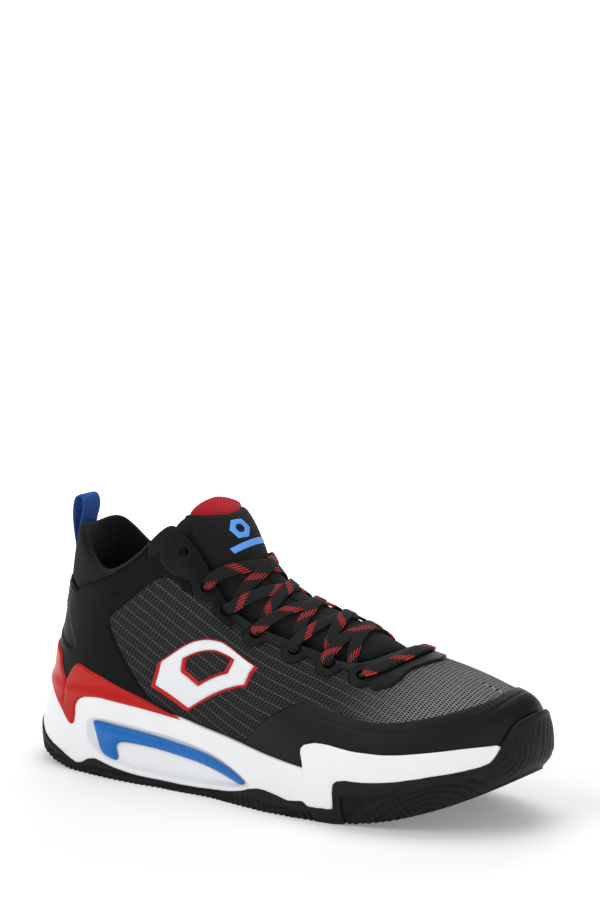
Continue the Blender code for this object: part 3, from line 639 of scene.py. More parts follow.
# ---------------------------------------------------------------- materials
class Look:
    """A node material, written one node at a time. Lengths in it are millimetres."""

    def __init__(self, name, colour, rough, **sockets):
        self.material = bpy.data.materials.new(name)
        self.material.use_nodes = True
        self.tree = self.material.node_tree
        self.shader = self.tree.nodes["Principled BSDF"]
        self.shader.inputs["Base Color"].default_value = (*colour, 1)
        self.shader.inputs["Roughness"].default_value = rough
        for socket, value in sockets.items():
            self.shader.inputs[socket.replace("_", " ")].default_value = value
        self.material.diffuse_color = (*colour, 1)

    def node(self, kind, inputs=(), output=0, **settings):
        made = self.tree.nodes.new("ShaderNode" + kind)
        for key, value in settings.items():
            setattr(made, key, value)
        for key, value in dict(inputs).items():
            if isinstance(value, bpy.types.NodeSocket):
                self.tree.links.new(value, made.inputs[key])
            else:
                made.inputs[key].default_value = value
        return made.outputs[output]

    def math(self, operation, a, b=0.0):
        return self.node("Math", {0: a, 1: b}, operation=operation)

    def times(self, a, b):
        return self.math("MULTIPLY", a, b)

    def plus(self, a, b):
        return self.math("ADD", a, b)

    def attribute(self):
        """(x, y, z) of the fabric coordinates."""
        vector = self.node("Attribute", output="Vector", attribute_name="fab")
        split = self.tree.nodes.new("ShaderNodeSeparateXYZ")
        self.tree.links.new(vector, split.inputs[0])
        return split.outputs[0], split.outputs[1], split.outputs[2]

    def vector(self, x, y, z=0.0):
        return self.node("CombineXYZ", {0: x, 1: y, 2: z})

    def stripe(self, value, pitch, share):
        """1 for the given share of every pitch, else 0."""
        return self.math("LESS_THAN", self.math("FRACT", self.math("DIVIDE", value, pitch)), share)

    def ridge(self, value, pitch):
        """Round ridges, 0 in the valleys and 1 on top."""
        wave = self.math("SINE", self.times(value, float(2 * np.pi / pitch)))
        return self.plus(self.times(wave, 0.5), 0.5)

    def noise(self, scale, detail=3.0, rough=0.5):
        place = self.node("TexCoord", output="Object")
        return self.node("TexNoise", {"Vector": place, "Scale": scale, "Detail": detail,
                                      "Roughness": rough})

    def ramp(self, value, *stops):
        """Colour by value; stops are (position, colour)."""
        made = self.tree.nodes.new("ShaderNodeValToRGB")
        self.tree.links.new(value, made.inputs[0])
        elements = made.color_ramp.elements
        elements[0].position, elements[1].position = stops[0][0], stops[-1][0]
        elements[0].color, elements[1].color = (*stops[0][1], 1), (*stops[-1][1], 1)
        for position, colour in stops[1:-1]:
            elements.new(position).color = (*colour, 1)
        return made.outputs[0]

    def mix(self, share, a, b):
        """Colour a where share is 0 and b where it is 1."""
        made = self.tree.nodes.new("ShaderNodeMix")
        made.data_type = "RGBA"
        for socket, value in ((made.inputs[0], share), (made.inputs[6], a), (made.inputs[7], b)):
            if isinstance(value, bpy.types.NodeSocket):
                self.tree.links.new(value, socket)
            elif isinstance(value, tuple):
                socket.default_value = (*value, 1)
            else:
                socket.default_value = value
        return made.outputs[2]

    def colour(self, value):
        self.tree.links.new(value, self.shader.inputs["Base Color"])

    def roughness(self, value, low, high):
        spread = self.node("MapRange", {0: value, 3: low, 4: high})
        self.tree.links.new(spread, self.shader.inputs["Roughness"])

    def bump(self, height, size, strength=1.0):
        """Relief of that size in millimetres."""
        found = self.node("Bump", {"Height": height, "Distance": size * MM, "Strength": strength})
        self.tree.links.new(found, self.shader.inputs["Normal"])


def mesh_look():
    """Engineered mesh: columns of small openings between grey threads, with bright warp lines."""
    look = Look("mesh_fabric", (0.05, 0.052, 0.055), 0.85, Specular_IOR_Level=0.06)
    u, t, zone = look.attribute()
    cells = look.tree.nodes.new("ShaderNodeTexBrick")
    look.tree.links.new(look.vector(t, u), cells.inputs["Vector"])
    cells.offset = 0.5
    for key, value in (("Scale", 1.0), ("Mortar Size", 0.23), ("Mortar Smooth", 0.2),
                       ("Brick Width", 1.25), ("Row Height", 2.1)):
        cells.inputs[key].default_value = value
    thread = cells.outputs["Fac"]
    fleck = look.noise(900.0, 2.0, 0.7)
    quarter = look.ramp(thread, (0.0, (0.0005, 0.0005, 0.0006)), (1.0, (0.05, 0.052, 0.052)))
    vamp = look.ramp(thread, (0.0, (0.004, 0.004, 0.0042)), (1.0, (0.36, 0.36, 0.355)))
    body = look.mix(zone, quarter, vamp)
    line = look.stripe(t, 5.4, 0.07)
    dash = look.stripe(u, 2.1, 0.6)
    bright = look.times(look.times(line, dash), 0.45)
    body = look.mix(bright, body, (0.33, 0.335, 0.34))
    worn = look.mix(look.times(fleck, 0.35), body, (0.03, 0.031, 0.032))
    look.colour(worn)
    look.bump(look.plus(thread, look.times(bright, 0.5)), 0.35)
    return look.material


def film_look(name, colour, rough, shine, hatch=False):
    """Fused synthetic film: fine grain and a slow change of gloss."""
    look = Look(name, colour, rough, Specular_IOR_Level=shine)
    grain = look.noise(2600.0, 2.0, 0.6)
    cloud = look.noise(38.0, 3.0, 0.5)
    tint = tuple(min(1.0, c * 1.55) for c in colour)
    look.colour(look.mix(cloud, colour, tint))
    look.roughness(cloud, rough - 0.07, rough + 0.1)
    height = look.times(grain, 0.35)
    if hatch:
        u, t, mask = look.attribute()
        lines = look.ridge(look.plus(u, t), 1.25)
        height = look.plus(height, look.times(look.times(lines, mask), 1.6))
    look.bump(height, 0.12)
    return look.material


def rubber_look(name, colour, rough):
    look = Look(name, colour, rough, Specular_IOR_Level=0.15)
    dust = look.noise(120.0, 4.0, 0.6)
    grain = look.noise(3000.0, 2.0, 0.6)
    look.colour(look.ramp(dust, (0.35, colour), (0.75, tuple(c * 1.7 for c in colour))))
    look.roughness(dust, rough - 0.08, rough + 0.12)
    look.bump(grain, 0.06)
    return look.material


def foam_look():
    """Moulded white foam with a fine skin."""
    look = Look("foam_white", (0.8, 0.81, 0.82), 0.42, Specular_IOR_Level=0.4,
                Subsurface_Weight=0.08, Subsurface_Scale=0.004)
    skin = look.noise(1500.0, 3.0, 0.6)
    cloud = look.noise(24.0, 2.0, 0.5)
    look.colour(look.mix(cloud, (0.78, 0.79, 0.8), (0.84, 0.85, 0.86)))
    look.roughness(cloud, 0.36, 0.5)
    look.bump(skin, 0.05)
    return look.material


def panel_look():
    """White film over a fine square net."""
    look = Look("panel_white", (0.8, 0.82, 0.84), 0.4)
    u, t, edge = look.attribute()
    x, y = (look.math("SUBTRACT", look.math("FRACT", value), 0.5) for value in (u, t))
    reach = look.math("SQRT", look.plus(look.times(x, x), look.times(y, y)))
    hole = look.math("LESS_THAN", reach, 0.2)
    look.colour(look.mix(look.times(hole, 0.75), (0.8, 0.82, 0.84), (0.3, 0.32, 0.34)))
    look.bump(look.math("SUBTRACT", 1.0, hole), 0.15)
    return look.material


def knit_look(name, colour, high, pitch, stitch, rib=0.5, sheen=0.06):
    """Ribbed knit: ribs across fab.x, stitches along fab.y."""
    look = Look(name, colour, 0.9, Specular_IOR_Level=0.12, Sheen_Weight=sheen, Sheen_Roughness=0.5)
    u, t, depth = look.attribute()
    ribs = look.ridge(u, pitch)
    loops = look.ridge(look.plus(t, look.times(ribs, stitch * 0.5)), stitch)
    knit = look.times(ribs, look.plus(look.times(loops, 0.6), 0.4))
    fuzz = look.noise(1800.0, 2.0, 0.7)
    look.colour(look.mix(look.times(knit, look.plus(fuzz, 0.35)), colour, high))
    look.bump(knit, rib)
    return look.material


def spacer_look(name, colour, hole_colour, pitch=1.5):
    """Thick knit mesh with rows of small staggered holes."""
    look = Look(name, colour, 0.9, Specular_IOR_Level=0.12, Sheen_Weight=0.04, Sheen_Roughness=0.5)
    u, t, depth = look.attribute()
    cells = look.tree.nodes.new("ShaderNodeTexBrick")
    look.tree.links.new(look.vector(u, t), cells.inputs["Vector"])
    for key, value in (("Scale", 1.0), ("Mortar Size", 0.3 * pitch), ("Mortar Smooth", 0.8),
                       ("Brick Width", pitch), ("Row Height", pitch * 0.8)):
        cells.inputs[key].default_value = value
    fuzz = look.noise(1500.0, 2.0, 0.7)
    thread = look.times(cells.outputs["Fac"], look.plus(look.times(fuzz, 0.7), 0.55))
    look.colour(look.mix(thread, hole_colour, colour))
    look.bump(cells.outputs["Fac"], 0.3)
    return look.material


def lace_look():
    """Flat braid: ribs along the lace and slanted groups of red dashes."""
    look = Look("lace_braid", (0.012, 0.012, 0.013), 0.8, Specular_IOR_Level=0.15,
                Sheen_Weight=0.03)
    along, across, face = look.attribute()
    pick = look.ridge(look.plus(along, look.times(look.math("ABSOLUTE", across), 0.6)), 0.9)
    ribs = look.ridge(across, 1.3)
    weave = look.plus(look.times(ribs, 0.7), look.times(pick, 0.3))
    cloth = look.ramp(weave, (0.0, (0.0015, 0.0015, 0.0016)), (1.0, (0.02, 0.02, 0.0205)))
    lane = look.math("FLOOR", look.math("DIVIDE", across, 1.3))
    shifted = look.plus(along, look.times(lane, 1.5))
    group = look.stripe(shifted, 21.0, 0.26)
    middle = look.math("LESS_THAN", look.math("ABSOLUTE", look.math("SUBTRACT", look.math(
        "FRACT", look.math("DIVIDE", across, 1.3)), 0.5)), 0.17)
    beads = look.stripe(along, 0.8, 0.8)
    red = look.times(look.times(group, middle), beads)
    look.colour(look.mix(red, cloth, (0.78, 0.04, 0.035)))
    look.bump(weave, 0.25)
    return look.material


def webbing_look(name, dark, light, pitch=1.15, shine=0.35):
    """Ribbed webbing: ribs across its length, fab.x along it."""
    look = Look(name, light, 0.65, Specular_IOR_Level=shine, Sheen_Weight=shine * 0.5)
    along, across, face = look.attribute()
    ribs = look.ridge(along, pitch)
    twill = look.ridge(look.plus(across, along), 0.7)
    weave = look.plus(look.times(ribs, 0.75), look.times(twill, 0.25))
    look.colour(look.mix(weave, dark, light))
    look.bump(weave, 0.3)
    return look.material


def plain_look(name, colour, rough, bump_size=0.04, **sockets):
    """Moulded plastic: slight cloudiness and a fine grain."""
    look = Look(name, colour, rough, **sockets)
    cloud = look.noise(45.0, 2.0, 0.5)
    dark, light = (tuple(min(1.0, c * share) for c in colour) for share in (0.88, 1.12))
    look.colour(look.mix(cloud, dark, light))
    look.roughness(cloud, max(rough - 0.06, 0.05), rough + 0.06)
    look.bump(look.noise(1400.0, 2.0, 0.5), bump_size)
    return look.material


MESH = mesh_look()
FILM = film_look("film_black", (0.0035, 0.0042, 0.0041), 0.46, 0.06)
# the eyestay is the same black film painted a little lighter: painted sheen for the light on its
# lobes
EYESTAY_SHEEN_LOOK = film_look("film_eyestay_painted_sheen", (0.0042, 0.0052, 0.005), 0.42, 0.11)
HATCHED = film_look("film_hatched", (0.004, 0.0047, 0.0046), 0.46, 0.17, hatch=True)
RUBBER_LOOK = rubber_look("rubber_black", (0.006, 0.0066, 0.0065), 0.52)
FOAM = foam_look()
CRADLE_LOOK = plain_look("cradle_red", (0.44, 0.013, 0.01), 0.34, Specular_IOR_Level=0.14)
BLUE_LOOK = plain_look("insert_blue", (0.005, 0.13, 0.45), 0.26, Specular_IOR_Level=0.28)
PANEL_LOOK = panel_look()
TRIM_RED = plain_look("trim_red", (0.5, 0.014, 0.014), 0.45, Specular_IOR_Level=0.15)
COLLAR_KNIT = knit_look("collar_knit", (0.0015, 0.0015, 0.0016), (0.018, 0.0185, 0.019), 1.7, 1.3)
LINING_KNIT = knit_look("lining_knit", (0.003, 0.003, 0.0032), (0.016, 0.016, 0.017), 1.2, 1.2, 0.3)
TONGUE_MESH = spacer_look("tongue_mesh", (0.017, 0.0172, 0.0175), (0.0015, 0.0015, 0.0016), 1.15)
RED_MESH = spacer_look("lining_red", (0.62, 0.02, 0.032), (0.2, 0.004, 0.01), 1.5)
LACE_LOOK = lace_look()
TAB_LOOK = webbing_look("webbing_blue", (0.004, 0.025, 0.14), (0.03, 0.14, 0.5), 1.15, 0.08)
KEEPER_LOOK = webbing_look("webbing_grey", (0.002, 0.002, 0.0021), (0.012, 0.012, 0.0123),
                           0.9, 0.05)
PRINT_LOOK = plain_look("print_blue", (0.09, 0.3, 0.78), 0.5)
DARK_PLASTIC = plain_look("plastic_dark", (0.02, 0.02, 0.022), 0.35)
BOARD_LOOK = spacer_look("board_cloth", (0.35, 0.35, 0.34), (0.2, 0.2, 0.19), 1.0)

# ---------------------------------------------------------------- shared measures
WALL_STATIONS = np.linspace(0, TURN, 193)
WALL_GRID = upper(WALL_STATIONS[:, None], np.linspace(0, 1, 41)[None, :])
WALL_LENGTHS = np.linalg.norm(np.diff(WALL_GRID, axis=1), axis=2).sum(1)
CROWN_SLOPE = 0.55


def wall_length(station):
    return np.interp(np.mod(station, TURN), WALL_STATIONS, WALL_LENGTHS)


# smoothed line through the shoe's ridge, from which the fabric's rows are measured
CROWN_X = np.arange(-40, 361.0)
CROWN_Z = np.interp(CROWN_X, [-80, 152, 230, 400], [111.5 + 232 * CROWN_SLOPE, 111.5, 85.5, 26])
CROWN_Z = np.pad(CROWN_Z, 20, mode="reflect", reflect_type="odd")
CROWN_Z = np.convolve(CROWN_Z, np.ones(41) / 41, "valid")


def weave_at(stations, heights, points):
    """Fabric coordinates: along the rows, across them, and 0 on the quarter to 1 on the vamp."""
    x, y, z = points.T
    along = x * np.cos(0.49) - z * np.sin(0.49)
    across = np.hypot(y, np.maximum(np.interp(x, CROWN_X, CROWN_Z) - z, 0))
    vamp = smooth_step((x - 205) / 65)
    return np.stack([along, across, vamp], -1)


def wave_at(stations, heights, points):
    """Coordinates in millimetres along the shoe and up its wall."""
    return np.stack([points[:, 0], heights * wall_length(stations), np.zeros(len(points))], -1)


def stations_of(first, last, step=0.05, fine=()):
    """Stations from first to last, closer together round the fine ones."""
    marks = [first, last]
    marks += list(np.arange(first, last, step))
    for low, high, close in fine:
        marks += list(np.arange(max(low, first), min(high, last), close))
    return np.unique(np.round(marks, 4))


def heights_of(stations, low, high, rows):
    """Grid of heights from low to high at each of the stations."""
    low, high = (np.broadcast_to(end, len(stations))[:, None] for end in (low, high))
    return low + (high - low) * np.linspace(0, 1, rows + 1)


def each_side(first, last):
    """Name and stations of the lateral side, then of the medial side."""
    stations = stations_of(first, last, 0.03)
    return ("lateral", stations), ("medial", TURN - stations[::-1])


def read_line(line, x):
    """Second value of a line of points where its first one is x."""
    return np.interp(x, *np.transpose(line))


# ---------------------------------------------------------------- outlines seen on the shoe
# (station, height) on the lateral side; the medial side mirrors it
QUARTER_WINDOW = [(5.25, 0.72), (4.6, 0.8), (4.23, 0.805), (3.68, 0.78), (3.09, 0.72), (3.14, 0.66),
                  (3.45, 0.47), (3.79, 0.29), (3.95, 0.21)]
MUDGUARD_EDGE = [
    (5.62, -0.1), (5.6, 0.06), (5.71, 0.1), (5.86, 0.155), (6.11, 0.215), (6.67, 0.33),
    (7.1, 0.425), (7.31, 0.47), (7.55, 0.525), (7.74, 0.546), (8.0, 0.54), (8.25, 0.524),
    (8.6, 0.498), (8.99, 0.478), (9.38, 0.458), (9.93, 0.423), (10.55, 0.395), (11.24, 0.362),
    (11.83, 0.35), (12.69, 0.35), (13.2, 0.35), (13.2, -0.1),
]
MUDGUARD_LINE = [
    (7.6, 0.445), (8.23, 0.42), (9.1, 0.38), (10.08, 0.325), (10.94, 0.3), (12.68, 0.285),
    (13.2, 0.285),
]
EYESTAY_FRONT = [
    (8.9, 0.8), (8.97, 0.764), (9.28, 0.737), (9.65, 0.736), (9.96, 0.754), (10.24, 0.79),
    (10.55, 0.808), (11.29, 0.804), (12.3, 0.783), (13.2, 0.78),
]
# (station, share of the wall): 1 is the sole's lip, then half a wall's height for every unit
CRADLE_CORNERS = [
    (-0.6, 0.985), (0.6, 0.985), (1.25, 0.985), (1.6, 0.95), (1.9, 0.86), (2.12, 0.757),
    (2.3, 0.64), (2.42, 0.565), (2.52, 0.6), (2.52, 0.72), (2.5, 0.84), (2.56, 0.93),
    (2.72, 0.985), (3.12, 0.995), (3.59, 0.988), (4.05, 0.98), (4.72, 0.985), (4.14, 1.035),
    (3.7, 1.115), (3.22, 1.205), (2.7, 1.33), (2.42, 1.4), (2.3, 1.37), (2.17, 1.25), (2.1, 1.14),
    (2.0, 1.19), (1.88, 1.27), (1.72, 1.4), (1.5, 1.42), (0.8, 1.42), (-0.6, 1.42),
]
LOBE_RADIUS = 7.6
SLOT_CORNERS = [(3.05, 0.835), (3.25, 0.885), (3.98, 0.895), (3.86, 0.862), (3.35, 0.83)]
TRIANGLE_CORNERS = [(0.55, 0.47), (1.28, 0.66), (1.55, 0.63), (2.42, 0.46), (1.6, 0.435)]
# (station, share of the sole's side) on the lateral side
WINDOW_CORNERS = [
    (2.8, 0.725), (3.39, 0.73), (4.11, 0.725), (4.86, 0.745), (5.2, 0.72), (5.5, 0.64),
    (5.8, 0.54), (5.95, 0.43), (5.75, 0.34), (5.4, 0.27), (4.92, 0.2), (4.16, 0.18), (3.61, 0.2),
    (3.25, 0.24), (3.02, 0.29), (2.85, 0.412), (2.77, 0.573),
]
INSERT_CORNERS = [
    (2.86, 0.69), (3.01, 0.68), (3.39, 0.673), (3.74, 0.673), (4.1, 0.665), (4.47, 0.663),
    (4.86, 0.675), (5.16, 0.648), (5.47, 0.583), (5.68, 0.492), (5.77, 0.445), (5.74, 0.405),
    (5.66, 0.388), (5.48, 0.427), (5.17, 0.485), (4.87, 0.512), (4.49, 0.508), (4.12, 0.513),
    (3.76, 0.513), (3.48, 0.503), (3.36, 0.482), (3.31, 0.437), (3.32, 0.382), (3.36, 0.3),
    (3.34, 0.25), (3.25, 0.255), (3.12, 0.286), (3.02, 0.357), (2.95, 0.503), (2.88, 0.618),
]
# station: share of the side where the rubber ends
RUBBER_TOP = {
    0: 0.36, 0.6: 0.37, 1.2: 0.34, 1.7: 0.27, 2.2: 0.22, 2.45: 0.16, 2.59: 0.125, 2.7: 0.145,
    2.82: 0.206, 2.93: 0.23, 3.02: 0.231, 3.18: 0.2, 3.37: 0.168, 3.64: 0.14, 4.0: 0.126,
    4.57: 0.121, 4.95: 0.14, 5.34: 0.186, 5.52: 0.215, 5.76: 0.296, 5.92: 0.387, 6.08: 0.442,
    6.23: 0.462, 6.49: 0.437, 6.71: 0.39, 7.05: 0.35, 7.15: 0.25, 7.3: 0.225, 7.52: 0.206,
    7.64: 0.21, 7.67: 0.27, 7.685: 0.36, 7.7: 0.45, 7.73: 0.52, 7.81: 0.56, 7.98: 0.583,
    8.6: 0.593, 8.97: 0.608, 9.5: 0.633, 10.02: 0.648, 10.4: 0.688, 10.6: 0.739, 10.71: 0.819,
    10.84: 0.94, 10.92: 1.0, 12: 1.0,
}


# ---------------------------------------------------------------- sole
# (first, last, step) where the sole's edges turn sharply
FINE_SOLE = ((2.3, 2.9, 0.025), (5.6, 6.3, 0.03), (7.02, 7.35, 0.01), (7.6, 7.85, 0.01),
             (10.3, 11.4, 0.025))


def mirrored(ranges):
    return tuple(ranges) + tuple((TURN - high, TURN - low, close) for low, high, close in ranges)


sole_stations = stations_of(0, TURN, 0.05, mirrored(FINE_SOLE))[:-1]
window = Outline(side, rounded(WINDOW_CORNERS, 2))
blade = Outline(side, rounded(INSERT_CORNERS, 2))


def foam_relief(s, w, points):
    """The foam's face: a sunken window round the blade and a soft roll under its upper band."""
    deep = window.signed(s, w, points)
    depth = -3.0 * smooth_step((deep + 0.6) / 3.2)
    depth += 0.5 * np.exp(-(deep / 3.0) ** 2) * (deep < 0)
    waist = np.exp(-((lateral(s) - 6.9) / 0.5) ** 2) * np.exp(-((w - 0.55) / 0.1) ** 2)
    below = smooth_step((level(RUBBER_TOP, s) - w) / 0.05)
    return depth - 0.7 * waist - 3.6 * below


count = len(sole_stations)
white_w = np.linspace(0.0, 1.0, 56)
grid_s = np.repeat(sole_stations, len(white_w))
under_bumper = 1 - 0.14 * smooth_step((lateral(sole_stations) - 10.8) / 0.12)
grid_w = (under_bumper[:, None] * white_w).ravel()
side_face = side(grid_s, grid_w)
foam_face = side(grid_s, grid_w, foam_relief(grid_s, grid_w, side_face))
foam_face = foam_face.reshape(count, len(white_w), 3)
lip_v = lip_height(sole_stations) * under_bumper
lip_top = [upper(sole_stations, lip_v + 0.004, d) for d in (2.4, 1.5, 0.5)]
cup = [upper(sole_stations, lip_v * f, 0.3) for f in (0.8, 0.4, 0.0)]
middle = side(sole_stations, 0.0, -4.5)
across_foot = side(TURN - sole_stations, 0.0, -4.5)
centre_line = (middle + across_foot) / 2
foot_height = upper(sole_stations, 0.0)[:, 2:3] - 0.5 - centre_line[:, 2:3]
foot_centre = centre_line + [0, 0, 1] * np.maximum(foot_height, 1)
rings = np.concatenate([
    (centre_line + [0, 0, 1.5])[:, None], (middle + [0, 0, 1.5])[:, None], foam_face,
    np.stack(lip_top + cup, 1), foot_centre[:, None]], 1)
foam_rings = rings.reshape(count, -1, 3)
piece("foam_midsole", foam_rings.reshape(-1, 3),
      flipped(grid_faces(*foam_rings.shape[:2], wrap_rows=True)),
      FOAM, "shoe", ("midsole",))


def opposite(stations):
    """Index of the station nearest to each one's place on the other side."""
    mirror = np.mod(TURN - stations, TURN)
    return np.argmin(np.abs(mirror[:, None] - stations[None, :]), axis=1)


def zigzag(x, pitch):
    return np.abs(np.mod(x / pitch, 1) - 0.5) * 2


def groove(distance, width):
    """1 in the middle of a groove and 0 outside it."""
    return smooth_step(1 - np.abs(distance) / width)


GROOVE_PITCH = 3.7
TOE_HEARTS = np.array([[296, -20, 44], [296, 24, 44]], float)


def side_grooves(s, w, points):
    """Moulded lines on the rubber's side."""
    at = lateral(s)
    x, y, z = points.T
    rise = z - ground(x)
    fine = groove(np.mod(x + 0.5 * rise, GROOVE_PITCH) - GROOVE_PITCH / 2, 1.15) * 2.0
    fine = fine * (at < 7.25) * smooth_step((6.0 - rise) / 2)
    upright = smooth_step((at - 7.72) / 0.06) * smooth_step((9.35 - at) / 0.35)
    fanned = x + rise * 0.16 * (x - 222) / 10
    bars = groove(np.mod(fanned, GROOVE_PITCH) - GROOVE_PITCH / 2, 1.05)
    bars = bars * 1.8 * upright * smooth_step((17 - rise) / 3)
    waves = smooth_step((at - 8.95) / 0.3) * smooth_step((10.6 - at) / 0.3)
    arc = np.hypot(x - 268, rise * 1.6 - 2)
    curl = groove(np.mod(arc, 4.4) - 2.2, 1.2) * 1.6 * waves * smooth_step((0.52 - w) / 0.06)
    near = np.where(y < 2, *(np.linalg.norm(points - heart, axis=1) for heart in TOE_HEARTS))
    rings_on_toe = groove(np.mod(near, 3.4) - 1.7, 1.0) * 0.8
    bumper = smooth_step((at - 10.75) / 0.15)
    bumper = bumper * smooth_step((w - 0.12) / 0.1) * smooth_step((0.93 - w) / 0.06)
    return fine + bars + curl + rings_on_toe * bumper


rubber_rows = 30
top_w = level(RUBBER_TOP, sole_stations)
row_share = np.linspace(1, 0, rubber_rows + 1)
rs = np.repeat(sole_stations, rubber_rows + 1)
rw = (top_w[:, None] * row_share).ravel()
flat_face = side(rs, rw)
from_edge = (np.repeat(top_w, rubber_rows + 1) - rw) * 42
proud = 1.0 * smooth_step(from_edge / 1.6)
sunk = side_grooves(rs, rw, flat_face) * smooth_step(from_edge / 3)
rubber_face = side(rs, rw, -0.3 + proud - sunk)
rubber_face = rubber_face.reshape(count, rubber_rows + 1, 3)
tread_rows = 44
tread_share = np.linspace(0, 1, tread_rows + 1)[1:]
edge_now = rubber_face[:, -1]
other = edge_now[opposite(sole_stations)]
heart_line = (edge_now + other) / 2
tread_points = edge_now[:, None] + (heart_line - edge_now)[:, None] * tread_share[None, :, None]
tx, ty = tread_points[..., 0], tread_points[..., 1]
herring = np.mod(tx + 9 * zigzag(ty + 8, 22), 6.4) / 6.4
cuts = smooth_step((0.34 - np.abs(herring - 0.5)) / 0.1)
inset = np.minimum(np.linalg.norm(tread_points - edge_now[:, None], axis=2), 12) / 4
bars_only = cuts * smooth_step(inset - 0.4)
ring_groove = groove(np.hypot(tx - 232, ty) - 17, 1.6) + groove(np.hypot(tx - 60, ty) - 14, 1.6)
TREAD_DEPTH = 1.5
cut_share = np.clip(bars_only + ring_groove, 0, 1) * smooth_step(inset)
tread_points[..., 2] = ground(tx) + TREAD_DEPTH * cut_share
toe_now = lateral(sole_stations)[:, None] > 10.9
top_back = np.where(toe_now, upper(sole_stations, lip_height(sole_stations) - 0.01, 0.3),
                    side(sole_stations, np.maximum(top_w, 0.02), -1.6))
shell_rings = np.concatenate([top_back[:, None], rubber_face, tread_points], 1)
piece("rubber_outsole", shell_rings.reshape(-1, 3),
      grid_faces(*shell_rings.shape[:2], wrap_rows=True), RUBBER_LOOK, "shoe", ("outsole",))


def edge_round(inner_distance, width):
    return smooth_step(inner_distance / width)


def blade_relief(s, h, points, d):
    return -1.7 + 1.25 * edge_round(d, 1.6) + 0.35 * edge_round(d - 1.5, 3)


for name, stations in each_side(2.8, 6.6):
    film("blade_" + name, BLUE_LOOK, side, stations, heights_of(stations, 0.2, 0.68, 44),
         blade.signed, blade_relief, -2.4, "shoe", ("insert_" + name,))


# ---------------------------------------------------------------- upper
eyelet_spots = []
for station, height, cross in EYELETS:
    eyelet_spots.append((station, height, upper(station, height), upper(TURN - station, height)))


def eyelet_distance(s, points, which=None):
    """Distance from the nearest eyelet's centre."""
    medial = np.mod(s, TURN) > TURN / 2
    best = np.full(len(points), 1e9)
    for k, (station, height, near, far) in enumerate(eyelet_spots):
        if which is not None and k not in which:
            continue
        centre = np.where(medial[:, None], far, near)
        best = np.minimum(best, np.linalg.norm(points - centre, axis=1))
    return best


quarter = Outline(upper, rounded(QUARTER_WINDOW, 2))
shell_stations = stations_of(0, TURN, 0.055)[:-1]
side_at = lateral(shell_stations)
shell_top = np.where(side_at <= 5.2, level(COLLAR_BOUNDARY, shell_stations) - 0.005, THROAT_EDGE)
shell_heights = heights_of(shell_stations, 0.0, shell_top, 64)


def hole_field(s, h, points):
    """Distance outside the eyelets' holes; the free one at the top is smaller."""
    top = eyelet_distance(s, points, which=(FREE_EYELET,)) - FREE_EYELET_R
    return np.minimum(eyelet_distance(s, points, which=range(FREE_EYELET)) - EYELET_R, top)


film("upper_mesh", MESH, upper, shell_stations, shell_heights, hole_field,
     lambda s, h, p, d: np.zeros(len(s)), -1.1, "shoe", ("upper_shell",), wrap=True,
     fabric=weave_at)

mudguard_outline = Outline(upper, rounded(MUDGUARD_EDGE, 1))
mudguard_line = Outline(upper, MUDGUARD_LINE, closed=False)


def mudguard_relief(s, h, points, d):
    line = mudguard_line.distance(s, points)
    return -0.2 + 1.15 * edge_round(d, 0.9) - 0.3 * groove(line, 0.7)


def mudguard_fabric(s, h, points):
    made = wave_at(s, h, points)
    line_height = read_line(MUDGUARD_LINE, lateral(s))
    made[:, 2] = smooth_step((h - line_height) / 0.02) * smooth_step((lateral(s) - 8.3) / 1.2)
    return made


# station: height that the mudguard's grid reaches, a little past its edge
GUARD_REACH = {5.5: 0.34, 6.6: 0.46, 7.3: 0.58, 8.1: 0.6, 9.2: 0.53, 12: 0.4}
guard_stations = stations_of(5.5, TURN - 5.5, 0.045)
film("mudguard_film", HATCHED, upper, guard_stations,
     heights_of(guard_stations, np.maximum(lip_height(guard_stations) - 0.03, 0),
                level(GUARD_REACH, guard_stations), 40),
     mudguard_outline.signed, mudguard_relief, -0.5, "shoe", ("mudguard",), fabric=mudguard_fabric)

triangle = Outline(upper, rounded(TRIANGLE_CORNERS, 2))
slot_outline = Outline(upper, rounded(SLOT_CORNERS, 1))


def heel_field(s, h, points):
    """The black rear quarter: everything behind and above the mesh window, up to the collar."""
    away = -quarter.signed(s, h, points)
    forward = np.where((lateral(s) > 3.95) & (h < 0.72), -5.0, 5.0)
    return np.minimum(away, forward)


def heel_relief(s, h, points, d):
    at = lateral(s)
    rim = -0.2 + 1.0 * edge_round(d, 0.9)
    hollow = 0.68 * smooth_step(triangle.signed(s, h, points) / 1.0 + 0.2)
    slot_depth = slot_outline.signed(s, h, points)
    slats = groove(np.mod(points[:, 0] + points[:, 2], 4.4) - 2.2, 1.1)
    hollow = hollow + smooth_step(slot_depth / 0.9) * (0.68 - 0.5 * slats)
    ribs = groove(np.mod(points[:, 2], 3.6) - 1.8, 1.3)
    ribs = ribs * smooth_step((1.15 - at) / 0.35) * (points[:, 2] > 50)
    top = level(COLLAR_BOUNDARY, s) * wall_length(s)
    piping = np.exp(-((h * wall_length(s) - top + 3.2) / 0.9) ** 2) * 0.5
    piping += np.exp(-((h * wall_length(s) - top + 6.4) / 0.7) ** 2) * 0.3
    return rim - hollow - 0.45 * ribs + piping


heel_stations = stations_of(-5.35, 5.35, 0.045)
heel_top = level(COLLAR_BOUNDARY, heel_stations) - 0.004
film("heel_film", FILM, upper, heel_stations, heights_of(heel_stations, 0.02, heel_top, 84),
     heel_field, heel_relief, -0.5, "shoe", ("heel_overlay",), fabric=wave_at)


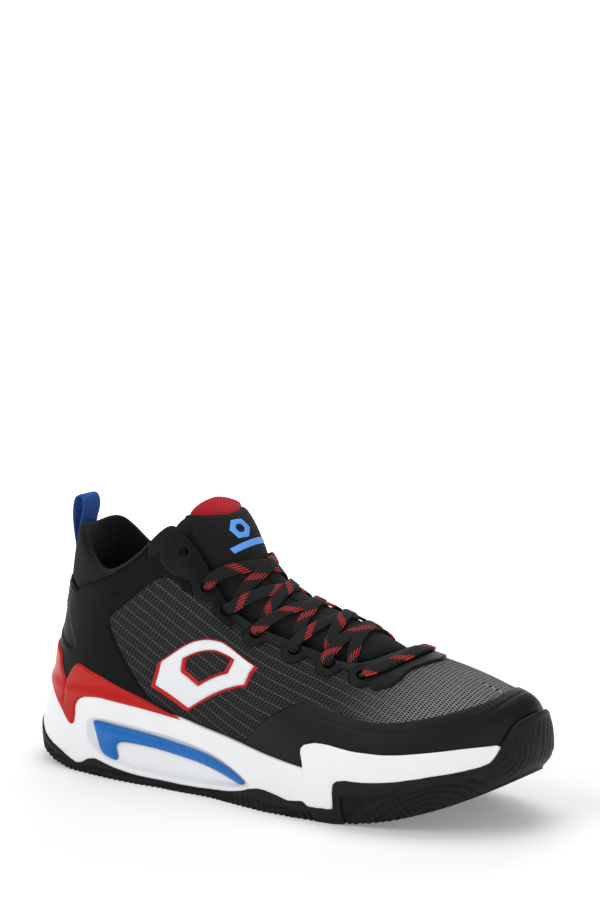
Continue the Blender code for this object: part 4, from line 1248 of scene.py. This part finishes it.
def eyestay_field(s, h, points):
    """Round lobes about the eyelets, joined along the throat's edge and across its front."""
    at = lateral(s)
    lobes = LOBE_RADIUS - eyelet_distance(s, points, which=range(FREE_EYELET))
    top_lobe = 14.0 - eyelet_distance(s, points, which=(FREE_EYELET,))
    strip = (h - 0.915) * wall_length(s)
    front = read_line(EYESTAY_FRONT, at)
    apron = np.where(at > 9.2, (h - front) * wall_length(s), -9.0)
    link = np.where((at > 5.2) & (at < 6.6), (h - 0.79) * wall_length(s), -9.0)
    joined = np.maximum.reduce([lobes, top_lobe, strip, apron, link])
    return np.minimum(joined, hole_field(s, h, points))


def eyestay_relief(s, h, points, d):
    near = eyelet_distance(s, points)
    rim = 0.75 + 0.75 * edge_round(d, 0.9)
    contour = sum(groove(near - radius, 0.55) for radius in (4.5, 5.9))
    wide = eyelet_distance(s, points, which=(FREE_EYELET,))
    contour = contour + sum(groove(wide - radius, 0.55) for radius in (7.5, 9.2, 11.2))
    collar = 0.45 * np.exp(-((near - 3.4) / 0.5) ** 2)
    return rim - 0.7 * contour + collar


# station: height that the eyestay's grid reaches down to
STAY_REACH = {4.3: 0.78, 5.2: 0.74, 6.0: 0.72, 7: 0.78, 9: 0.7, 12: 0.7}
stay_stations = stations_of(4.3, TURN - 4.3, 0.035)
film("eyestay_film", EYESTAY_SHEEN_LOOK, upper, stay_stations,
     heights_of(stay_stations, level(STAY_REACH, stay_stations), 0.992, 46),
     eyestay_field, eyestay_relief, -0.4, "shoe", ("eyestay",), fabric=wave_at)


def shoe_wall(station, q, depth=0.0):
    """One face for sole and upper: q is the sole's side up to 1, then the upper above the lip."""
    station, q, depth = arrays(station, q, depth)
    low = side(station, np.minimum(q, 1), depth)
    rise = np.maximum(q - 1, 0)
    fade = LIP_THICK * (1 - 0.75 * smooth_step(rise / 0.16))
    high = upper(station, lip_height(station) + rise * 0.5, depth + fade)
    return np.where((q <= 1)[..., None], low, high)


cradle = Outline(shoe_wall, rounded(CRADLE_CORNERS, 1))


def cradle_relief(s, q, points, d):
    """The cradle stands proud, with a crease that runs down from its notch."""
    crease = np.exp(-((lateral(s) - 2.13 - 0.28 * (1.14 - q)) / 0.035) ** 2)
    crease = crease * smooth_step((1.2 - q) / 0.1) * smooth_step((q - 0.75) / 0.2)
    ledge = np.exp(-((q - 0.97) / 0.07) ** 2) * smooth_step((2.6 - lateral(s)) / 1.2)
    return -0.25 + 1.5 * edge_round(d, 1.3) - 0.6 * crease - 0.5 * ledge


cradle_stations = stations_of(-4.6, 4.6, 0.04, ((-2.8, -1.6, 0.02), (1.6, 2.8, 0.02)))
film("heel_cradle_film", CRADLE_LOOK, shoe_wall, cradle_stations,
     heights_of(cradle_stations, 0.5, 1.46, 72),
     cradle.signed, cradle_relief, -0.9, "shoe", ("heel_cradle",))

# ---------------------------------------------------------------- side panels
corners = np.array(PANEL_CORNERS)
panel_middle = corners.mean(0)


def scaled(share):
    return Outline(upper, panel_middle + (corners - panel_middle) * share)


whole_panel, field_panel, hole_rim, hole_panel = map(scaled, (1.0, 0.93, 0.5, 0.42))


def between_outlines(outer, inner):
    return lambda s, h, p: np.minimum(outer.signed(s, h, p), -inner.signed(s, h, p))


def panel_weave(s, h, points):
    x, y, z = points.T
    return np.stack([x * 0.9 - z * 0.45, z * 0.9 + x * 0.45, np.zeros(len(x))], -1)


for name, stations in each_side(3.8, 7.1):
    rows = heights_of(stations, 0.16, 0.69, 60)
    for part, look, outer, inner, lift in (
            ("side_border_", TRIM_RED, whole_panel, field_panel, 0.95),
            ("side_panel_", PANEL_LOOK, field_panel, hole_rim, 0.6),
            ("side_rim_", TRIM_RED, hole_rim, hole_panel, 0.95)):
        film(part + "film_" + name, look, upper, stations, rows, between_outlines(outer, inner),
             lambda s, h, p, d, lift=lift: 0.15 + lift * edge_round(d, 0.6), -0.3, "shoe",
             (part + name,), fabric=panel_weave)

# ---------------------------------------------------------------- lining and insole
def lining_field(s, h, points):
    return np.full(len(s), 5.0)


lining_stations = stations_of(0, TURN, 0.12)[:-1]
lining_top = level(LINING_TOP, lining_stations)
film("lining_knit", LINING_KNIT, upper, lining_stations,
     heights_of(lining_stations, 0.03, lining_top, 26), lining_field,
     lambda s, h, p, d: np.full(len(s), LINING_INSIDE), LINING_BEHIND, "shoe", ("lining",),
     wrap=True, fabric=wave_at)

sock_stations = stations_of(0, TURN, 0.15)[:-1]
board = upper(sock_stations, 0.0, SHELL_INSIDE - GAP)[:, 2] + 1.2 + GAP
rim = upper(sock_stations, 0.02, LINING_INSIDE - GAP)
sock_middle = (rim + rim[opposite(sock_stations)]) / 2
# rings of the insole: its underside at the rim, then its top from the rim to the middle
sock_rings = []
for share in (None, 0.0, 0.02, 0.06, 0.12, 0.25, 0.5, 0.75, 1.0):
    ring = rim + (sock_middle - rim) * (share or 0.0)
    if share is None:
        ring[:, 2] = board
    else:
        ring[:, 2] = board + (4.5 + 1.2 * np.exp(-share / 0.08) - (1.0 if share == 0 else 0.0))
    sock_rings.append(ring)
sock = np.stack(sock_rings, 1)
sock_fab = np.stack([sock[..., 0], sock[..., 1], np.zeros(sock.shape[:2])], -1)
piece("sockliner_pad", sock.reshape(-1, 3), flipped(grid_faces(*sock.shape[:2], wrap_rows=True)),
      LINING_KNIT, "shoe", ("sockliner",), {"fab": sock_fab.reshape(-1, 3)})


# ---------------------------------------------------------------- padded pieces
CLOTH_FRAMES = 20


def puff(made, pinned, reach, pressure=4.0):
    """Inflate a closed pad a little with cloth, hold its seams and cap how far it moves."""
    group = made.vertex_groups.new(name="seam")
    for index, weight in enumerate(pinned):
        if weight > 0:
            group.add([index], float(weight), "REPLACE")
    start = np.array([v.co for v in made.data.vertices])
    cloth = made.modifiers.new("fill", "CLOTH")
    cloth.settings.quality = 5
    cloth.settings.mass = 0.2
    cloth.settings.tension_stiffness = 12
    cloth.settings.compression_stiffness = 12
    cloth.settings.shear_stiffness = 5
    cloth.settings.bending_stiffness = 0.6
    cloth.settings.use_pressure = True
    cloth.settings.uniform_pressure_force = pressure
    cloth.settings.vertex_group_mass = "seam"
    cloth.settings.effector_weights.gravity = 0
    cloth.collision_settings.use_collision = False
    cloth.point_cache.frame_start, cloth.point_cache.frame_end = 1, CLOTH_FRAMES
    scene = bpy.context.scene
    for frame_number in range(1, CLOTH_FRAMES + 1):
        scene.frame_set(frame_number)
    found = made.evaluated_get(bpy.context.evaluated_depsgraph_get()).to_mesh()
    moved = np.array([v.co for v in found.vertices]) - start
    made.modifiers.clear()
    scene.frame_set(1)
    length = np.linalg.norm(moved, axis=1, keepdims=True)
    cap = reach * MM
    moved *= np.minimum(1, cap / np.maximum(length, 1e-9))
    if np.isfinite(moved).all():
        made.data.vertices.foreach_set("co", (start + moved).astype(np.float32).ravel())
        made.data.update()


def soften(made, levels=1):
    change = made.modifiers.new("soft", "SUBSURF")
    change.levels = levels
    change.render_levels = levels


def run_length(points):
    """Length along a row of points up to each of them."""
    steps = np.linalg.norm(np.diff(points, axis=0), axis=1)
    return np.concatenate([[0], np.cumsum(steps)])


def collar_section(station):
    """Cross-section of the collar pad: inside, over the rim and down to its outer seam."""
    low = level(LINING_TOP, station) + 0.01
    seam = level(COLLAR_BOUNDARY, station)
    shape = [(low, -7.0), (low, -5.2), (low, -1.7), (seam - 0.01, -1.6), (seam - 0.002, -0.5),
             (seam + 0.006, 0.25), (seam * 0.6 + 0.4, 0.5), (seam * 0.25 + 0.75, 0.15), (1.0, -0.9),
             (1.014, -2.6), (1.014, -4.6), (1.0, -6.2), (low * 0.3 + 0.7, -7.3),
             (low * 0.7 + 0.3, -7.4)]
    slim = 1 - 0.45 * smooth_step((abs(station) - 4.7) / 0.9)
    middle = (1.0 - low) * 0.5 + low
    return rounded([(middle + (height - middle) * slim ** 0.5, -1.6 + (depth + 1.6) * slim)
                    for height, depth in shape], 1)


collar_stations = stations_of(-5.6, 5.6, 0.09)
sections = [collar_section(s) for s in collar_stations]
collar_rings = np.array([upper(np.full(len(c), s), c[:, 0], c[:, 1])
                         for s, c in zip(collar_stations, sections)])
rim_index = int(np.argmax(sections[0][:, 0]))
rim_run = run_length(collar_rings[:, rim_index])
around_run = run_length(collar_rings[len(collar_rings) // 2])
collar = tube("collar_padding", COLLAR_KNIT, collar_rings, woven(rim_run, around_run), "shoe",
              ("collar_pad",))
held = np.zeros(collar_rings.shape[:2])
held[:, :9] = 1.0
held[[0, 1, -1, -2], :] = 1.0
puff(collar, held.ravel(), 0.9)
soften(collar)


# ---------------------------------------------------------------- tongue
def tongue_face(across):
    """Depth of the tongue's face: it dips at the edges to pass under the eyestay."""
    return -1.65 - 2.6 * np.minimum(np.abs(2 * across - 1), 1.12) ** 4


# (side share, station) along the tongue's top edge, and along the red lining's crest over it
TONGUE_CREST = [
    (-0.24, 5.2), (-0.1, 5.08), (0, 5.05), (0.08, 5.08), (0.24, 5.25), (0.42, 5.38), (0.6, 5.36),
    (0.8, 5.22), (0.92, 5.18), (1.0, 5.22), (1.1, 5.35), (1.24, 5.6),
]
LINING_CREST = [
    (0.06, 5.1), (0.12, 5.04), (0.22, 4.99), (0.34, 4.95), (0.5, 4.93), (0.62, 4.97),
    (0.75, 5.06), (0.86, 5.17), (0.94, 5.26),
]


def tongue_spread(across, station):
    """Side share: wings at the tongue's top, and narrower towards its front end."""
    front = smooth_step((station - 9.6) / 1.2)
    wing = smooth_step((6.1 - station) / 0.7)
    return 0.5 + (across - 0.5) * (1.14 + 0.34 * wing - 0.1 * front)


def tongue_rise(station, across):
    """How far the padded top stands up from the tongue's face."""
    return 1.8 * smooth_step((6.4 - station) / 0.8) * np.clip(1 - np.abs(2 * across - 1) ** 3, 0, 1)


def crest_at(line, across):
    return float(read_line(line, tongue_spread(across, 5.0)))


def pad_point(station, across, depth):
    return tongue(station, tongue_spread(across, station), depth)


tongue_across = np.linspace(0, 1, 35)


def tongue_section(across):
    """Cross-section along the tongue: up its face and back down its inside."""
    top = crest_at(TONGUE_CREST, across)
    face_depth = float(tongue_face(tongue_spread(across, 7.0)))
    run = np.concatenate([np.linspace(11.7, 6.8, 30), np.linspace(6.7, top + 0.12, 26)])
    lift = tongue_rise(run, tongue_spread(across, run)) - 2.0 * smooth_step((run - 10.9) / 0.6)
    seam = 0.5 * np.exp(-((run - 6.28) / 0.05) ** 2)
    front = list(zip(run, face_depth + lift - seam))
    crest = [(top + 0.03, face_depth - 0.4), (top, face_depth - 1.6), (top + 0.03, -4.7)]
    back = [(s, -5.0) for s in run[::-1]]
    return np.array(front + crest + back)


tongue_sections = [tongue_section(a) for a in tongue_across]
tongue_rings = np.array([pad_point(c[:, 0], np.full(len(c), a), c[:, 1])
                         for a, c in zip(tongue_across, tongue_sections)])
tongue_run = run_length(tongue_rings[17])
across_run = run_length(tongue_rings[:, 20])
tongue_piece = tube("tongue_padding", TONGUE_MESH, tongue_rings, woven(across_run, tongue_run),
                    None, thin=True)
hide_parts("tongue_lower", "tongue_top")
held = np.ones(tongue_rings.shape[:2])
held[3:-3, 30:56] = 0.0
puff(tongue_piece, held.ravel(), 0.6, 3.0)
soften(tongue_piece)
HINGE = place([137.5, 0.0, 127.0])[0]
FOLD_START, FOLD_END = HINGE + [0.006, 0, -0.006], HINGE + [-0.006, 0, 0.006]
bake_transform(tongue_piece)
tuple(FOLD_START)
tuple(FOLD_END)


def roll(name, look, path, radii, replaced):
    """Padded roll of round cross-sections along a path."""
    smooth = rounded(np.column_stack([path, radii]), 3, closed=False)
    line, thick = smooth[:, :3], smooth[:, 3]
    ahead = unit(np.gradient(line, axis=0))
    out = unit(np.cross(ahead, [0.0, 0.0, 1.0]))
    over = np.cross(out, ahead)
    turn = np.linspace(0, 2 * np.pi, 21)[:-1]
    rings = line[:, None] + thick[:, None, None] * (
        np.cos(turn)[None, :, None] * out[:, None] + np.sin(turn)[None, :, None] * over[:, None])
    made = tube(name, look, rings, woven(run_length(line), turn * 3.5), "shoe", replaced)
    soften(made)


for name, turned in (("lateral", 1), ("medial", -1)):
    beside = 0.5 - 0.5 * turned
    route = [upper(turned * 4.35, 0.95, -3.6), upper(turned * 4.75, 0.955, -3.6),
             upper(turned * 5.12, 0.96, -3.4), tongue(5.2, beside - 0.03 * turned, -4.2),
             tongue(5.4, beside + 0.16 * turned, -4.8)]
    roll("collar_front_roll_" + name, TONGUE_MESH, [np.ravel(point) for point in route],
         [2.8, 4.2, 4.5, 4.2, 2.6], ("collar_pad",))


def lining_section(across):
    """The red lining: a soft roll that stands over the tongue's top edge, then down the inside."""
    top = crest_at(LINING_CREST, across)
    seam = max(crest_at(TONGUE_CREST, across), top + 0.04)
    tall = seam - top
    face_depth = float(tongue_face(tongue_spread(across, 5.2)))
    down = np.linspace(seam + 0.12, 7.6, 26)
    front = [(seam + 0.06, face_depth - 0.6), (seam, face_depth + 0.7),
             (seam - tall * 0.35, face_depth + 1.0), (seam - tall * 0.75, face_depth + 0.3),
             (top, face_depth - 1.4), (top, -4.6),
             (top + tall * 0.3, -6.0)]
    inside_run = [(s, -6.7) for s in down]
    back = [(s, -5.35) for s in down[::-1]] + [(seam + 0.1, -5.1), (seam + 0.09, face_depth - 1.2)]
    return np.array(front + inside_run + back)


red_across = np.linspace(0.2, 0.8, 33)
red_sections = [lining_section(a) for a in red_across]


def red_point(across, section):
    """The lining's points; it's narrower inside the shoe than over the tongue's top."""
    station, depth = section.T
    narrow = 1 - 0.45 * smooth_step((station - 5.5) / 0.5)
    return pad_point(station, 0.5 + (across - 0.5) * narrow, depth)


red_rings = np.array([red_point(a, c) for a, c in zip(red_across, red_sections)])
red_fab = woven(run_length(red_rings[:, 10]), run_length(red_rings[14]))
red_piece = tube("tongue_lining_mesh", RED_MESH, red_rings, red_fab, None, thin=True)
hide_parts("tongue_lining")
soften(red_piece)
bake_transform(red_piece)
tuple(FOLD_START)
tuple(FOLD_END)


def on_tongue(name, look, corners, hole, lift, body, replaced, low, high, across, step=0.012):
    """Print or strap on the tongue's face, within an outline and outside a hole."""
    shape = Outline(tongue, corners)
    gap = Outline(tongue, hole) if hole is not None else None

    def field(s, h, points):
        found = shape.signed(s, h, points)
        return found if gap is None else np.minimum(found, -gap.signed(s, h, points))

    stations = np.arange(low, high, step)
    rows = heights_of(stations, across[0], across[1], 60)
    return film(name, look, tongue, stations, rows, field,
                lambda s, h, p, d: (tongue_face(h) + tongue_rise(s, h) + 0.15
                                    + lift * edge_round(d, 0.5)),
                -2.9, body, replaced,
                fabric=lambda s, h, p: np.stack([s * 17, h * 55, np.zeros(len(s))], -1))


angle = np.linspace(0, 2 * np.pi, 7)[:-1] + 0.35
six = np.stack([np.cos(angle), np.sin(angle)], -1)
mark_middle, mark_reach = np.array([5.78, 0.41]), np.array([0.2, 0.11])
on_tongue("tongue_mark_print", PRINT_LOOK, mark_middle + six * mark_reach,
          mark_middle + six * mark_reach * 0.45, 0.45, "tongue_flap", ("tongue_mark",),
          5.5, 6.05, (0.26, 0.56))
on_tongue("tongue_bar_print", PRINT_LOOK,
          [(6.03, 0.22), (6.02, 0.66), (6.13, 0.68), (6.14, 0.24)], None, 0.45,
          "tongue_flap", ("tongue_bar",), 5.98, 6.2, (0.18, 0.72), 0.008)
on_tongue("lace_keeper_strap", KEEPER_LOOK,
          [(6.66, 0.4), (6.66, 0.6), (7.56, 0.61), (7.56, 0.39)], None, 0.7,
          "shoe", ("lace_keeper",), 6.6, 7.65, (0.34, 0.66), 0.02)

# ---------------------------------------------------------------- lace
# share of the way over the tongue: (lift of an under band, lift of an over band)
BAND_LIFT = {
    0.1: (1.9, 1.9), 0.2: (1.6, 1.6), 0.3: (1.5, 1.7), 0.4: (1.5, 2.4), 0.5: (1.5, 2.85),
    0.6: (1.5, 2.5), 0.7: (1.7, 2.1), 0.8: (2.1, 2.4), 0.9: (2.9, 3.1),
}


def stop(surface, station, height, depth, width):
    """One point of the lace's route, the outward direction there and the lace's width."""
    point = surface(float(station), float(height), depth)
    out = unit(surface(float(station), float(height), depth + 0.5) - point)
    return np.concatenate([point, out, [width]])


def on_side(station, medial):
    return TURN - station if medial else station


def band(start, end, medial, over):
    """Stops from under the start's eyelet, over the tongue, down into the end's eyelet."""
    stops = [stop(upper, on_side(start[0], medial), start[1], -2.9, LACE_NECK),
             stop(upper, on_side((start[0] + start[2]) / 2, medial),
                  (start[1] + THROAT_EDGE) / 2, -3.1, LACE_NECK),
             stop(upper, on_side(start[2], medial), THROAT_EDGE, -3.1, LACE_NECK)]
    for share, lifts in BAND_LIFT.items():
        across = 1 - share if medial else share
        station = start[2] + (end[2] - start[2]) * share
        depth = tongue_face(across) + lifts[over]
        stops.append(stop(tongue, station, across, depth, LACE_WIDTH))
    far = not medial
    rim_station = end[2] + (start[2] - end[2]) * 0.03
    stops.append(stop(upper, on_side(rim_station, far), THROAT_EDGE, 2.4, LACE_WIDTH))
    for share, depth, width in ((0.5, 2.4, LACE_WIDTH), (0.85, 2.4, LACE_WIDTH - 0.6),
                                (1.0, 1.2, LACE_NECK + 0.6), (1.0, -1.2, LACE_NECK)):
        station = end[2] + (end[0] - end[2]) * share
        height = THROAT_EDGE + (end[1] - THROAT_EDGE) * share
        stops.append(stop(upper, on_side(station, far), height, depth, width))
    return stops


def tail(eyelet, medial):
    """Tucked end: inside the shoe, down beside the tongue."""
    run = ((0.0, 0.84, -3.4), (0.02, 0.84, -6.2), (0.1, 0.77, -7.0), (0.25, 0.66, -7.2),
           (0.45, 0.55, -7.2))
    return [stop(upper, on_side(eyelet[0] + shift, medial), height, depth, 3.2)
            for shift, height, depth in run]


def lace_half(medial_start):
    """Stops of one half of the lace, from the front eyelet to its tucked end."""
    stops = []
    for k in range(5):
        medial = medial_start if k % 2 == 0 else not medial_start
        stops += band(EYELETS[k], EYELETS[k + 1], medial, 0 if medial else 1)
    return stops + tail(EYELETS[5], not medial)


def front_bar():
    """Stops of the bar over the front of the eyestay, lateral to medial."""
    station, height = EYELETS[0][:2]
    far = TURN - station
    ends = [(-1.2, LACE_NECK), (1.9, LACE_NECK + 1.4)]
    stops = [stop(upper, station, height, depth, width) for depth, width in ends]
    for share in np.linspace(0.03, 0.97, 19):
        at = station + (far - station) * share
        rise = 0.035 * np.sin(np.pi * share)
        width = LACE_WIDTH if 0.04 < share < 0.96 else LACE_NECK + 1.6
        stops.append(stop(upper, at, height + rise, 2.9, width))
    return stops + [stop(upper, far, height, depth, width) for depth, width in ends[::-1]]


def lace_rings(stops, corner):
    """Flat cross-sections along the route, turned with it, and their run along the lace."""
    stops = rounded(np.array(stops), 2, closed=False)
    points, outs, widths = stops[:, :3], unit(stops[:, 3:6]), stops[:, 6]
    along = unit(np.gradient(points, axis=0))
    run = run_length(points)
    rings, fab = [], []
    before = None
    for point, out, width, t, at in zip(points, outs, widths, along, run):
        flat = np.cross(out, t)
        if before is not None and np.linalg.norm(flat) < 0.6:
            flat = before
        flat = unit(flat - t * (flat @ t))
        if before is not None and flat @ before < 0:
            flat = -flat
        if before is not None:
            flat = unit(flat * 0.5 + before * 0.5)
            flat = unit(flat - t * (flat @ t))
        before = flat
        up = unit(np.cross(t, flat))
        rings.append([point + flat * (width / 2 * a) + up * (LACE_THICK * 0.62 * b)
                      for a, b in corner])
        fab.append([(at, LACE_WIDTH / 2 * a, b) for a, b in corner])
    return np.array(rings), np.array(fab)


lace_corner = [(-1, -0.35), (-0.93, -0.85), (-0.6, -1), (-0.2, -1),
               (0.2, -1), (0.6, -1), (0.93, -0.85), (1, -0.35)]
lace_corner += [(a, -b) for a, b in lace_corner[::-1]]
lace_stops = lace_half(False)[::-1] + front_bar() + lace_half(True)
lace_route, lace_fab = lace_rings(lace_stops, lace_corner)
tube("lace_braid", LACE_LOOK, lace_route, lace_fab, "shoe", ("lace",))


# ---------------------------------------------------------------- pull tab
def strap(name, look, line, width, thick, body, replaced):
    """Ribbed webbing bent along a line in the X-Z plane."""
    line = rounded(np.array(line, float), 3, closed=False)
    along = unit(np.gradient(line, axis=0))
    out = np.stack([along[:, 1], -along[:, 0]], -1)
    run = run_length(line)
    across = np.concatenate([np.linspace(-1, 1, 9), np.linspace(1, -1, 9)])
    face_side = np.concatenate([np.full(9, -0.5), np.full(9, 0.5)])
    face_side[[0, 8, 9, 17]] *= 0.55
    rings = [[(p[0] + n[0] * thick * b, width / 2 * a, p[1] + n[1] * thick * b)
              for a, b in zip(across, face_side)] for p, n in zip(line, out)]
    fab = [[(at, width / 2 * a, b) for a, b in zip(across, face_side)] for at in run]
    return tube(name, look, rings, np.array(fab), body, replaced)


LOOP_LINE = [
    (18.4, 117), (18.5, 123), (18.8, 128), (19.5, 133), (21.0, 137), (21.9, 141), (21.6, 144.5),
    (20.3, 146.7), (18.3, 147.4), (16.4, 146.2), (14.9, 143), (14.3, 138), (14.4, 132),
    (15.2, 125), (16.7, 117),
]
strap("pull_loop_webbing", TAB_LOOK, LOOP_LINE, TAB_WIDTH, TAB_THICK, "pull_tab", ("pull_loop",))
base_line = [tuple(upper(0.0, height, TAB_THICK / 2 + 0.6)[[0, 2]])
             for height in (0.828, 0.846, 0.864)]
strap("pull_base_webbing", TAB_LOOK, base_line, TAB_WIDTH - 1, TAB_THICK, "shoe", ("pull_base",))

# ---------------------------------------------------------------- pieces kept from the frame
KEPT = {"heel_counter": DARK_PLASTIC, "toe_puff": DARK_PLASTIC, "shank_plate": DARK_PLASTIC,
        "strobel_board": BOARD_LOOK, "aglet_a": DARK_PLASTIC, "aglet_b": DARK_PLASTIC}
for name, look in KEPT.items():
    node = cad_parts[name]
    node.data.materials.clear()
    node.data.materials.append(look)

# ---------------------------------------------------------------- floor
# a wide sheet of paper whose far edges turn up, in metres
PAPER_REACH, PAPER_RISE = 10, 1.6
floor_mesh = bpy.data.meshes.new("floor")
corners = np.array([(-1, -1), (1, -1), (1, 1), (-1, 1)], float)
floor_points = np.vstack([np.column_stack([corners * reach, [rise] * 4])
                          for reach, rise in ((PAPER_REACH, 0.0), (PAPER_REACH + 1, PAPER_RISE))])
floor_sides = [(k, (k + 1) % 4, 4 + (k + 1) % 4, 4 + k) for k in range(4)]
floor_mesh.from_pydata(floor_points.tolist(), [], [(0, 1, 2, 3)] + floor_sides)
floor_look = Look("floor_pale", (0.8, 0.8, 0.8), 0.7, Specular_IOR_Level=0.2)
paper = floor_look.noise(3.0, 2.0, 0.5)
floor_look.colour(floor_look.mix(paper, (0.79, 0.79, 0.79), (0.82, 0.82, 0.82)))
distance = floor_look.node("VectorMath", {0: floor_look.node("TexCoord", output="Object")},
                           output="Value", operation="LENGTH")
away = floor_look.node("MapRange", {0: distance, 1: 0.16, 2: 0.5, 3: 0.0, 4: 1.0},
                       interpolation_type="SMOOTHSTEP")
floor_look.tree.links.new(floor_look.mix(away, (0.21, 0.21, 0.21), (1.0, 1.0, 1.0)),
                          floor_look.shader.inputs["Emission Color"])
floor_look.shader.inputs["Emission Strength"].default_value = 1.0
floor_mesh.materials.append(floor_look.material)
floor = bpy.data.objects.new("floor", floor_mesh)
bpy.context.collection.objects.link(floor)
